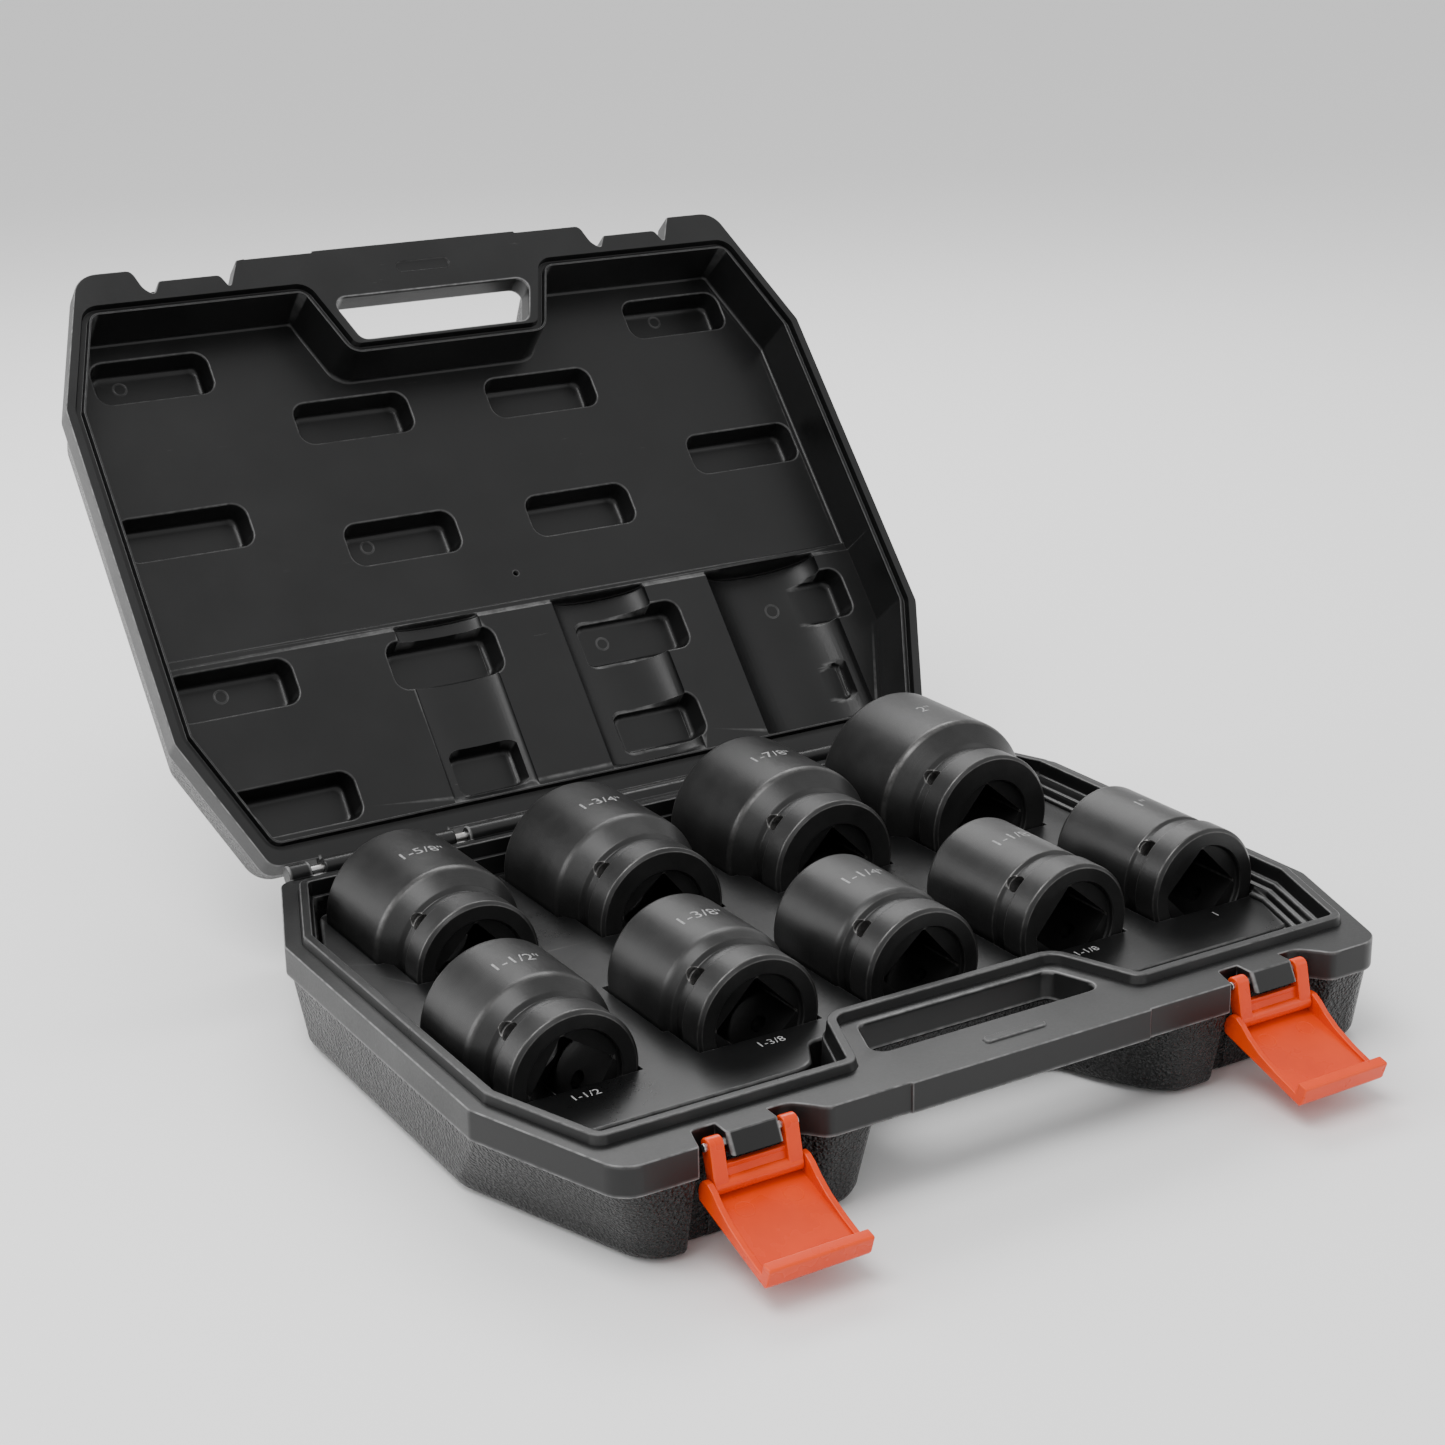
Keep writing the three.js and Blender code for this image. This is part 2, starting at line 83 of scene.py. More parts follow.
# ---- numbers and outlines ----
def rounded_line(points, steps=4):
    """An open line through (a, b, radius) corners, with each corner rounded."""
    out = [tuple(points[0][:2])]
    for before, here, after in zip(points, points[1:], points[2:]):
        corner = Vector(here[:2])
        back = Vector(before[:2]) - corner
        ahead = Vector(after[:2]) - corner
        radius = here[2] if len(here) > 2 else 0.0
        reach = min(radius, 0.49 * back.length, 0.49 * ahead.length)
        start = corner + back.normalized() * reach
        end = corner + ahead.normalized() * reach
        for k in range(steps + 1):
            t = k / steps
            out.append(tuple(start * (1 - t) ** 2 + corner * (2 * t * (1 - t)) + end * t * t))
    out.append(tuple(points[-1][:2]))
    return out


class Profile:
    """Height as a function of distance, with rounded corners."""

    def __init__(self, points, steps=4):
        line = rounded_line(points, steps)
        self.at = [p[0] for p in line]
        self.height = [p[1] for p in line]

    def __call__(self, distance):
        return np.interp(distance, self.at, self.height)

    def stops(self, low=-1e9, high=1e9):
        return [a for a in sorted(set(round(a, 3) for a in self.at)) if low <= a <= high]


class Outline:
    """A closed counter-clockwise outline of (x, y, radius) corners, which can be moved inwards."""

    def __init__(self, corners):
        self.corners = [Vector(c[:2]) for c in corners]
        self.radii = [c[2] for c in corners]

    def at(self, move=0.0, steps=6, rounder=None):
        """The outline moved in by one distance, or by one for each edge from its first corner on."""
        count = len(self.corners)
        moves = [move] * count if isinstance(move, (int, float)) else list(move)
        sharp = []
        for i, point in enumerate(self.corners):
            before = (point - self.corners[i - 1]).normalized()
            after = (self.corners[(i + 1) % count] - point).normalized()
            turn = before.x * after.y - before.y * after.x
            sharp.append(point + (after * moves[i - 1] - before * moves[i]) / turn)
        loop = []
        for i, corner in enumerate(sharp):
            back = sharp[i - 1] - corner
            ahead = sharp[(i + 1) % count] - corner
            room = 0.49 * min(back.length, ahead.length)
            back.normalize()
            ahead.normalize()
            convex = back.y * ahead.x - back.x * ahead.y > 0
            half = back.angle(ahead) / 2
            grown = -moves[i] if convex else moves[i]
            radius = self.radii[i] + (grown if rounder is None else rounder)
            radius = max(0.2, min(radius, room * math.tan(half)))
            centre = corner + (back + ahead).normalized() * (radius / math.sin(half))
            start = corner + back * (radius / math.tan(half)) - centre
            end = corner + ahead * (radius / math.tan(half)) - centre
            sweep = math.atan2(start.x * end.y - start.y * end.x, start.dot(end))
            for k in range(steps + 1):
                c, s = math.cos(sweep * k / steps), math.sin(sweep * k / steps)
                loop.append((centre.x + start.x * c - start.y * s, centre.y + start.x * s + start.y * c))
        return loop


def inside_distance(loop, points):
    """Distance from the loop, positive inside it and negative outside."""
    a = np.array(loop)
    b = np.roll(a, -1, axis=0)
    nearest = np.full(len(points), 1e9)
    crossings = np.zeros(len(points), int)
    for p, q in zip(a, b):
        edge = q - p
        t = np.clip(((points - p) @ edge) / max(edge @ edge, 1e-12), 0, 1)
        gap = points - (p + t[:, None] * edge)
        nearest = np.minimum(nearest, np.hypot(gap[:, 0], gap[:, 1]))
        if p[1] != q[1]:
            spans = (points[:, 1] >= min(p[1], q[1])) & (points[:, 1] < max(p[1], q[1]))
            meets = p[0] + (points[:, 1] - p[1]) * edge[0] / edge[1]
            crossings += spans & (points[:, 0] < meets)
    return np.where(crossings % 2 == 1, nearest, -nearest)


def offset_ring(ring, move):
    """A dense closed ring moved to its left by a small distance."""
    if not move:
        return list(ring)
    pts = np.array(ring)
    keep = np.linalg.norm(pts - np.roll(pts, 1, axis=0), axis=1) > 1e-6
    before = pts - np.roll(pts, 1, axis=0)
    for i in range(len(pts)):
        if not keep[i]:
            before[i] = before[i - 1]
    after = np.roll(pts, -1, axis=0) - pts
    for i in range(len(pts) - 1, -1, -1):
        if np.linalg.norm(after[i]) <= 1e-6:
            after[i] = after[(i + 1) % len(pts)]
    before /= np.linalg.norm(before, axis=1)[:, None]
    after /= np.linalg.norm(after, axis=1)[:, None]
    inward = np.stack([-before[:, 1] - after[:, 1], before[:, 0] + after[:, 0]], axis=1)
    scale = 1 / np.maximum(1 + (before * after).sum(axis=1), 0.5)
    return [tuple(p) for p in pts + inward * scale[:, None] * move]


def circle(x, y, radius, count=20):
    turns = [2 * math.pi * k / count for k in range(count)]
    return [(x + radius * math.cos(turn), y + radius * math.sin(turn)) for turn in turns]


def mirrored(right_side):
    return list(right_side) + [(-c[0], *c[1:]) for c in reversed(right_side)]


def pill(x, y, half_w, half_d, radius):
    return Outline([(x - half_w, y - half_d, radius), (x + half_w, y - half_d, radius),
                    (x + half_w, y + half_d, radius), (x - half_w, y + half_d, radius)])


RIM = Outline(mirrored([(165.6, FRONT_Y, 11), (188, -79.4, 7), (188, 81.7, 7), (164.6, 143.4, 7)]))
BEAD = Outline(mirrored([(49, -92, 7), (62, -126.5, 6), (164.2, -126.3, 6), (181, -78, 6),
                         (181, 79.5, 6), (160.3, 134.1, 6)]))
HAND_HOLE = Outline(mirrored([(51.5, -120, 5), (43, -97, 5)]))


# ---- skins ----
class Skin:
    """Vertices and faces with a finish number for each face."""

    def __init__(self):
        self.verts = []
        self.faces = []
        self.finish = []

    def add(self, verts, faces, finish=0):
        start = len(self.verts)
        self.verts += [tuple(v) for v in verts]
        self.faces += [tuple(i + start for i in face) for face in faces]
        self.finish += [finish] * len(faces)
        return self

    def loft(self, rings, finish=0, closed=True, caps=False):
        count = len(rings[0])
        verts = [v for ring in rings for v in ring]
        faces = []
        for r in range(len(rings) - 1):
            for i in range(count if closed else count - 1):
                j = (i + 1) % count
                faces.append((r * count + i, r * count + j, (r + 1) * count + j, (r + 1) * count + i))
        if caps:
            faces.append(tuple(range(count - 1, -1, -1)))
            faces.append(tuple(range((len(rings) - 1) * count, len(rings) * count)))
        return self.add(verts, faces, finish)

    def plate(self, z, outer, holes=(), finish=0):
        verts, faces = triangulated(outer, [(hole, True) for hole in holes])
        middles = np.array([np.mean([verts[i] for i in face], axis=0) for face in faces])
        solid = np.ones(len(faces), bool)
        for hole in holes:
            solid &= inside_distance(hole, middles) < 0
        kept = [face for face, ok in zip(faces, solid) if ok]
        return self.add([(x, y, z) for x, y in verts], kept, finish + PLATE)

    def mapped(self, change):
        self.verts = [change(v) for v in self.verts]
        return self


def level(ring, z):
    return [(x, y, z) for x, y in ring]


def triangulated(outer, lines):
    """Triangles inside the outer loop that keep to every (points, closed) line."""
    coords, edges = [], []
    for points, closed in [(outer, True)] + list(lines):
        start = len(coords)
        coords += [Vector((float(p[0]), float(p[1]))) for p in points]
        edges += [(start + i, start + i + 1) for i in range(len(points) - 1)]
        if closed:
            edges.append((start + len(points) - 1, start))
    verts, _, faces, *_ = delaunay_2d_cdt(coords, edges, [], 0, 1e-4, True)
    verts = [(v.x, v.y) for v in verts]
    middles = np.array([np.mean([verts[i] for i in face], axis=0) for face in faces])
    kept = []
    for face, ok in zip(faces, inside_distance(outer, middles) > 0):
        if not ok:
            continue
        a, b, c = (Vector(verts[i]) for i in face)
        area = (b - a).x * (c - a).y - (b - a).y * (c - a).x
        if abs(area) > 1e-6:
            kept.append(tuple(face) if area > 0 else tuple(reversed(face)))
    return verts, kept


def relief(outer, lines, height, finish=0):
    """A skin over a plan area whose height is a function of place."""
    verts, faces = triangulated(outer, lines)
    tall = height(np.array(verts))
    return Skin().add([(x, y, z) for (x, y), z in zip(verts, tall)], faces, finish)


def mark_wear_and_highlight(mesh):
    """A number from 0 to 1 at each vertex: how proud an edge it stands on. The shaders lighten these edges:
    part edge wear, part painted highlight.
    """
    work = bmesh.new()
    work.from_mesh(mesh)
    wear_and_highlight = np.zeros(len(work.verts), np.float32)
    for edge in work.edges:
        if len(edge.link_faces) != 2:
            continue
        bend = math.degrees(edge.calc_face_angle_signed(0.0))
        amount = min(1.0, max(0.0, (bend - 6.0) / 22.0))
        for vert in edge.verts:
            wear_and_highlight[vert.index] = max(wear_and_highlight[vert.index], amount)
    for face in work.faces:
        broad = 2 * face.calc_area() / max(face.calc_perimeter(), 1e-9) > BROAD_FACE * MM
        if broad or face.material_index >= PLATE:
            for vert in face.verts:
                wear_and_highlight[vert.index] = 0.0
    work.free()
    # this attribute lightens the colour at proud edges: part edge wear, part painted highlight
    layer = mesh.attributes.new("wear_and_highlight", "FLOAT", "POINT")
    layer.data.foreach_set("value", wear_and_highlight)
    for face in mesh.polygons:
        face.material_index %= PLATE


def make_piece(name, skin, body, finishes, replaces=(), turn=None, flip=False, sharp=38.0):
    """A Blender object in metres from a skin, riding on a CAD body."""
    mesh = bpy.data.meshes.new(name)
    matrix = turn if turn is not None else Matrix.Identity(4)
    verts = [tuple(matrix @ Vector(v) * MM) for v in skin.verts]
    faces = [tuple(reversed(f)) for f in skin.faces] if flip else skin.faces
    mesh.from_pydata(verts, [], faces)
    mesh.polygons.foreach_set("material_index", skin.finish)
    work = bmesh.new()
    work.from_mesh(mesh)
    bmesh.ops.remove_doubles(work, verts=work.verts, dist=0.000004)
    bmesh.ops.dissolve_degenerate(work, edges=work.edges, dist=0.000002)
    bmesh.ops.delete(work, geom=[v for v in work.verts if not v.link_faces], context="VERTS")
    work.to_mesh(mesh)
    work.free()
    return finish_piece(name, mesh, body, finishes, replaces, sharp)


def finish_piece(name, mesh, body, finishes, replaces=(), sharp=38.0):
    mark_wear_and_highlight(mesh)
    for material in finishes:
        mesh.materials.append(material)
    mesh.shade_smooth()
    mesh.set_sharp_from_angle(angle=math.radians(sharp))
    piece = bpy.data.objects.new(name, mesh)
    bpy.context.scene.collection.objects.link(piece)
    weighted = piece.modifiers.new("weighted", "WEIGHTED_NORMAL")
    weighted.keep_sharp = True
    weighted.weight = 80
    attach(piece, body)
    if replaces:
        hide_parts(*replaces)
    return piece


# ---- materials ----
class Shader:
    """A small helper round one material's node tree."""

    def __init__(self, name):
        self.material = bpy.data.materials.new(name)
        self.material.use_nodes = True
        self.tree = self.material.node_tree
        self.bsdf = self.tree.nodes["Principled BSDF"]
        self.place = self.node("ShaderNodeTexCoord").outputs["Object"]

    def node(self, kind, settings=None, **inputs):
        made = self.tree.nodes.new(kind)
        for key, value in (settings or {}).items():
            setattr(made, key, value)
        for key, value in inputs.items():
            self.feed(made.inputs[key.replace("_", " ")], value)
        return made

    def feed(self, socket, value):
        if isinstance(value, bpy.types.NodeSocket):
            self.tree.links.new(value, socket)
        else:
            socket.default_value = value

    def stretched(self, scale):
        return self.node("ShaderNodeMapping", Vector=self.place, Scale=scale).outputs["Vector"]

    def noise(self, scale, detail=3.0, rough=0.55, vector=None):
        made = self.node("ShaderNodeTexNoise", Scale=scale, Detail=detail, Roughness=rough)
        self.feed(made.inputs["Vector"], vector or self.place)
        return made.outputs["Fac"]

    def cells(self, scale):
        made = self.node("ShaderNodeTexVoronoi", {"feature": "SMOOTH_F1"}, Scale=scale)
        self.feed(made.inputs["Vector"], self.place)
        return made.outputs["Distance"]

    def ramp(self, value, low, high, out_low=0.0, out_high=1.0):
        made = self.node("ShaderNodeMapRange", Value=value)
        limits = {"From Min": low, "From Max": high, "To Min": out_low, "To Max": out_high}
        for key, number in limits.items():
            made.inputs[key].default_value = number
        return made.outputs["Result"]

    def math(self, operation, a, b):
        made = self.node("ShaderNodeMath", {"operation": operation})
        self.feed(made.inputs[0], a)
        self.feed(made.inputs[1], b)
        return made.outputs[0]

    def mix(self, factor, a, b):
        made = self.node("ShaderNodeMix", {"data_type": "RGBA"})
        self.feed(made.inputs[0], factor)
        self.feed(made.inputs[6], a)
        self.feed(made.inputs[7], b)
        return made.outputs[2]

    # reads the edge attribute: lighter edges, part wear and part painted highlight
    def wear_and_highlight(self):
        return self.node("ShaderNodeAttribute", {"attribute_name": "wear_and_highlight"}).outputs["Fac"]

    def bump(self, height, distance, strength=1.0, normal=None):
        made = self.node("ShaderNodeBump", Height=height, Distance=distance, Strength=strength)
        if normal is not None:
            self.feed(made.inputs["Normal"], normal)
        return made.outputs["Normal"]

    def set(self, **inputs):
        for key, value in inputs.items():
            self.feed(self.bsdf.inputs[key.replace("_", " ")], value)
        return self.material


def grey(value, warmth=0.0):
    return (value * (1 + warmth), value, value * (1 - warmth), 1.0)


def black_plastic(name, tone, rough, worn_and_highlight_tone, pebbled=False):
    """Moulded polyethylene: satin with soft clouding, real scuffs and lighter edges, part rubbed wear and
    part painted highlight, or pebbled with painted glints on the pebble peaks.
    """
    s = Shader(name)
    clouds = s.noise(22.0, 4.0)
    speckle = s.noise(900.0, 2.0)
    wear_and_highlight = s.math("MULTIPLY", s.wear_and_highlight(), s.ramp(s.noise(260.0, 4.0), 0.3, 0.62, 0.35, 1.0))
    body = s.mix(s.ramp(clouds, 0.35, 0.7), grey(tone * 0.88, -0.02), grey(tone * 1.14, -0.02))
    scuff_lines = s.noise(60.0, 5.0, 0.7, s.stretched((1.0, 7.0, 7.0)))
    scuffs = s.math("MULTIPLY", s.ramp(scuff_lines, 0.66, 0.74),
                    s.ramp(s.noise(14.0), 0.55, 0.66, 0.0, 0.5))
    scuffed = s.mix(scuffs, body, grey(worn_and_highlight_tone * 0.75))
    # lighter colour at proud edges: part rubbed wear, part painted highlight
    colour = s.mix(wear_and_highlight, scuffed, grey(worn_and_highlight_tone))
    roughness = s.math("ADD", s.ramp(clouds, 0.3, 0.75, rough - 0.05, rough + 0.06),
                       s.ramp(speckle, 0.3, 0.7, -0.03, 0.03))
    if pebbled:
        grain = s.math("ADD", s.ramp(s.cells(900.0), 0.05, 0.6, 1.0, 0.0),
                       s.math("MULTIPLY", s.noise(700.0, 3.0), 0.9))
        normal = s.bump(grain, 0.0008, 1.0)
        # painted glints: the pebble peaks are painted lighter
        colour = s.mix(s.ramp(grain, 0.8, 1.4, 0.0, 0.6), colour, grey(worn_and_highlight_tone * 0.5))
    else:
        normal = s.bump(s.noise(1500.0, 3.0), 0.00003, 0.5, s.bump(clouds, 0.0006, 0.16))
    return s.set(Base_Color=colour, Roughness=roughness, Normal=normal, Specular_IOR_Level=0.34)


def latch_plastic():
    s = Shader("latch_orange")
    clouds = s.noise(60.0, 3.0)
    colour = s.mix(s.ramp(clouds, 0.3, 0.7), (0.62, 0.036, 0.0, 1), (0.70, 0.046, 0.0, 1))
    # lighter orange at proud edges: part wear, part painted highlight
    colour = s.mix(s.math("MULTIPLY", s.wear_and_highlight(), 0.25), colour, (0.85, 0.09, 0.005, 1))
    flow = s.noise(90.0, 3.0, 0.6, s.stretched((1.0, 0.25, 1.0)))
    return s.set(Base_Color=colour, Roughness=s.ramp(clouds, 0.3, 0.7, 0.24, 0.33),
                 Specular_IOR_Level=0.28,
                 Normal=s.bump(s.noise(1300.0, 2.0), 0.00002, 0.3, s.bump(flow, 0.0002, 0.12)))


def socket_steel(name, tone, rough, ribbed=False):
    """Phosphated steel: fine crystals, faint turning lines and lighter edges, part burnished wear and part
    painted highlight.
    """
    s = Shader(name)
    crystals = s.noise(2600.0, 3.0, 0.7)
    clouds = s.noise(48.0, 5.0, 0.62)
    turning = s.noise(120.0, 3.0, 0.6, s.stretched((0.35, 22.0, 0.35)))
    wear_and_highlight = s.math("MULTIPLY", s.wear_and_highlight(), s.ramp(s.noise(330.0, 4.0), 0.32, 0.62, 0.3, 1.0))
    body = s.mix(s.ramp(clouds, 0.32, 0.7), grey(tone * 0.82), grey(tone * 1.2))
    body = s.mix(s.ramp(crystals, 0.5, 0.8, 0.0, 0.35), body, grey(tone * 1.9))
    # lighter colour at proud edges: part burnished wear, part painted highlight
    colour = s.mix(wear_and_highlight, body, grey(0.23, 0.02))
    roughness = s.math("ADD", s.ramp(clouds, 0.3, 0.7, rough - 0.05, rough + 0.05),
                       s.math("MULTIPLY", wear_and_highlight, -0.12))
    lines = s.noise(160.0, 4.0, 0.7, s.stretched((12.0, 0.12, 12.0))) if ribbed else turning
    normal = s.bump(crystals, 0.00003, 0.45, s.bump(lines, 0.0005 if ribbed else 0.00009, 0.5))
    return s.set(Base_Color=colour, Roughness=roughness, Metallic=0.72, Normal=normal)


def bright_steel():
    s = Shader("pin_steel")
    lines = s.noise(500.0, 3.0, 0.6, s.stretched((0.1, 8.0, 8.0)))
    stain = s.noise(160.0, 4.0)
    colour = s.mix(s.ramp(stain, 0.4, 0.75), grey(0.5), grey(0.27, 0.06))
    return s.set(Base_Color=colour, Metallic=1.0, Roughness=s.ramp(stain, 0.3, 0.7, 0.26, 0.45),
                 Normal=s.bump(lines, 0.00004, 0.6))


def mark_ink(name, tone):
    s = Shader(name)
    worn = s.ramp(s.noise(900.0, 3.0), 0.35, 0.6)
    return s.set(Base_Color=s.mix(worn, grey(tone * 0.55), grey(tone)), Roughness=0.55,
                 Normal=s.bump(s.noise(2400.0), 0.00002, 0.4))


SATIN = black_plastic("case_satin", 0.0060, 0.36, 0.20)
PEBBLE = black_plastic("case_pebble", 0.0045, 0.30, 0.09, pebbled=True)
TRAY = black_plastic("tray_satin", 0.0055, 0.33, 0.09)
LINER = black_plastic("liner_satin", 0.0055, 0.36, 0.09)
ORANGE = latch_plastic()
STEEL = socket_steel("socket_phosphate", 0.030, 0.37)
# darker copy of the socket steel for the inner faces: painted shade in the socket's recesses
STEEL_SHADED = socket_steel("socket_inside", 0.012, 0.46, ribbed=True)
PIN = bright_steel()
ETCH = mark_ink("size_etch", 0.26)
PRINT = mark_ink("size_print", 0.42)


# ---- outer skin of one case half, standing on its outer face ----
# (along from the latch centre, y, radius), with the tongue's four corners in the middle
BASE_NOTCH = [(-33, FRONT_Y, 0), (-22.6, FRONT_Y, 0.8), (-19.3, -133.2, 1.2), (-16.5, -132.9, 1.0),
              (-10, -132.9, 0.4), (-10, None, 1.4), (10, None, 1.4), (10, -133.6, 0.4),
              (18.5, -133.6, 4), (23.3, -138.6, 4), (27.4, FRONT_Y, 5), (33, FRONT_Y, 0)]
LID_NOTCH = [(-33, FRONT_Y, 0), (-25.1, FRONT_Y, 3), (-22.5, -135.5, 4), (-19.5, -132.8, 2.5),
             (-18.0, -132.8, 0.6), (-14.6, None, 1.0), (14.2, None, 2.0), (16.8, -132.8, 0.6),
             (17.8, -132.8, 0.3), (24.0, FRONT_Y, 1.0), (28.0, FRONT_Y, 0), (33, FRONT_Y, 0)]
BAR_MIDDLE = [(-52.9, FRONT_Y, 0.4), (-52.3, FRONT_Y - 0.9, 0.4),
              (52.3, FRONT_Y - 0.9, 0.4), (52.9, FRONT_Y, 0.4)]
BAY_MIDDLE = [(-66, FRONT_Y, 12), (-51.5, -116, 12), (-45, -97, 8),
              (45, -97, 8), (51.5, -116, 12), (66, FRONT_Y, 12)]
# A lean is how far in each kind of edge has moved: front, left front corner, right front corner,
# the other five, and the ends of the handle's bay. This picks one for each of RIM's edges.
LEAN_OF_EDGE = (2, 3, 3, 3, 3, 3, 1, 0)
BAY_FADE = 0.045  # share of a latch bay's depth that each millimetre of lean takes away
PROUD_FADE = 3.0  # how deep into a latch bay the rim's proud face has gone
BAY_REACH = 79.0  # the handle's bay and its rounded ends lie inside this x


def front_edge(notch, tongue_y, middle, deeper=0.0):
    """Front edge from left to right, across both latch bays."""
    ends = []
    for centre in (-LATCH_X, LATCH_X):
        bay = []
        for along, y, radius in notch:
            y = tongue_y if y is None else y + (deeper if y > FRONT_Y else 0.0)
            bay.append((centre + along + math.copysign(deeper, along), y, radius))
        ends.append(bay)
    return rounded_line(ends[0][:-1] + middle + ends[1][1:], 4)


def ring_at(front, z, lean, round_off=0.0, bay_depth=1.0, rounder=None):
    """Plan ring: octagon edges leaned in, and the front edge with its bays."""
    octagon = RIM.at([lean[k] for k in LEAN_OF_EDGE], 8, rounder)
    left_end, right_end = octagon[-1][0], octagon[0][0]
    ahead, sides = lean[0], lean[4]
    edge = []
    for x, y in front:
        deep = max(0.0, y - FRONT_Y)
        if abs(x) < BAY_REACH:
            x += math.copysign(sides * min((BAY_REACH - abs(x)) / 12, 1), x)
            y += ahead * (1 - 0.4 * min(deep / 46, 1))
        elif ahead < 0:
            y += ahead * (1 - min(deep / PROUD_FADE, 1))
        elif deep > 0:
            y = FRONT_Y + ahead + deep * bay_depth * (1 - BAY_FADE * ahead)
        else:
            y += ahead
        edge.append((max(left_end, min(right_end, x)), y))
    return level(offset_ring(octagon + edge, round_off), z)


def half_case(height, notch, tongue_front, tongue_foot, bay_foot, proud, foot_lean, opening, mark):
    """Outer skin: floor, leaned walls, band, handle bar and flange. tongue_front(z) gives its face."""
    skin = Skin()
    band_z = height - BAND_H
    flat = -133.6
    lower = {True: front_edge(notch, -140.4, BAY_MIDDLE, 1.0),
             False: front_edge(notch, flat + 1.0, BAY_MIDDLE, 1.0)}
    fillet = 6.5
    band_lean = (BAND_STEP - proud if proud > 1.5 else 0.1, BAND_STEP, BAND_STEP, BAND_STEP, 0.0)

    def wall(z, tongue=False, depth=1.0, curl=0.0):
        part = (band_z - z) / (band_z - fillet)
        lean = [a + (b - a) * min(part, 1.0) + curl for a, b in zip(band_lean, foot_lean)]
        return ring_at(lower[tongue], z, lean, 0.0, depth, 5.0 * min(part, 1.0))

    foot = 1.0 if bay_foot <= 0 else 0.0
    rings = []
    for a in (0, 14, 28, 42, 56, 70, 84):
        across, up = math.cos(math.radians(a)), math.sin(math.radians(a))
        rings.append(wall(fillet * (1 - across), False, foot, fillet * (1 - up)))
    stops = [(fillet + 2, False, foot)]
    if bay_foot > fillet:
        stops += [(bay_foot - 1.5, False, 0.0), (bay_foot - 0.6, False, 0.45),
                  (bay_foot, False, 0.85), (bay_foot + 0.8, False, 1.0)]
    if tongue_foot < band_z:
        stops += [(tongue_foot, False, 1.0), (tongue_foot + 0.05, True, 1.0)]
    stops.append((band_z, tongue_foot < band_z, 1.0))
    rings += [wall(*stop) for stop in stops]
    skin.loft(rings, 1)
    skin.add(rings[0], [tuple(range(len(rings[0]) - 1, -1, -1))], 1 + PLATE)

    def band(z, off, tongue=True):
        y = tongue_front(z) if tongue and z >= tongue_foot else flat
        return ring_at(front_edge(notch, y, BAR_MIDDLE), z, (-proud, 0, 0, 0, 0), off)

    r = EDGE_R
    steps = [(band_z, 0.5, False), (band_z + 0.3, 0.12, False),
             (band_z + 0.9, 0.0, False), (band_z + 1.6, 0.0, False)]
    if tongue_foot > band_z:
        steps += [(tongue_foot, 0.0, False), (tongue_foot, 0.0, True)]
    else:
        steps = [(z, off, True) for z, off, _ in steps]
    steps += [(height - r - 1.0, 0.0, True)]
    steps += [(height - r + r * math.sin(math.radians(a)), r * (1 - math.cos(math.radians(a))), True)
              for a in (0, 22, 45, 67, 90)]
    band_rings = [band(*step) for step in steps]
    skin.loft(band_rings, 0)
    plan = [[(v[0], v[1]) for v in ring] for ring in (band_rings[0], rings[-1], band_rings[-1])]
    skin.plate(band_z, plan[0], [plan[1], HAND_HOLE.at(-0.8)], 0)
    hole = [(band_z, 0.8), (band_z + 0.24, 0.24), (band_z + 0.8, 0.0), (band_z + 1.6, 0), (height - 1.8, 0),
            (height - 0.9, 0.0), (height - 0.26, 0.26), (height, 0.9)]
    skin.loft([level(reversed(HAND_HOLE.at(-off)), z) for z, off in hole], 0)
    half_w, half_d, rise = mark
    rib = pill(0, -133, half_w, half_d, half_d - 0.1)
    ramp = [(0.0, 0.0), (0.25, 0.22), (0.8, 0.55), (1.0, 0.9)]
    rib_rings = [level(rib.at(inset), height + up * rise) for up, inset in ramp]
    skin.loft(rib_rings, 0)
    skin.add(rib_rings[-1], [tuple(range(len(rib_rings[-1])))], PLATE)
    skin.plate(height, plan[2], [BEAD.at(-opening), HAND_HOLE.at(-0.9), rib.at(0)], 0)
    return skin


def knuckle(x0, x1, side):
    """Hinge barrel with a web to the case's back wall, below the rim for side -1 and above for +1."""
    radius = 4.3
    arc = [(HINGE.y + radius * math.cos(math.radians(a)), HINGE.z + radius * math.sin(math.radians(a)))
           for a in range(-90, 181, 15)]
    outline = [(142.0, HINGE.z - radius)] + arc + [(142.0, HINGE.z)]
    centre = Vector((145.6, HINGE.z - 1.0))
    skin = Skin()
    rings = []
    for x, shrink in ((x0, 0.86), (x0 + 0.25, 0.95), (x0 + 0.7, 1.0), (x0 + 1.4, 1.0),
                      (x1 - 1.4, 1.0), (x1 - 0.7, 1.0), (x1 - 0.25, 0.95), (x1, 0.86)):
        ring = []
        for y, z in outline:
            spot = centre + (Vector((y, z)) - centre) * shrink
            ring.append((x, spot.x, HINGE.z - (HINGE.z - spot.y) * (-side)))
        rings.append(ring)
    skin.loft(rings, 0, caps=True)
    return skin


def round_ended(x0, x1, edge):
    """(x, inset) stations of a bar along X whose end edges are quarter rounds."""
    arc = []
    for a in (0, 30, 60, 90):
        arc.append((edge * (1 - math.cos(math.radians(a))), edge * (1 - math.sin(math.radians(a)))))
    stations = [(x0 + along, inset) for along, inset in arc]
    return stations + [(x1 - along, inset) for along, inset in reversed(arc)]


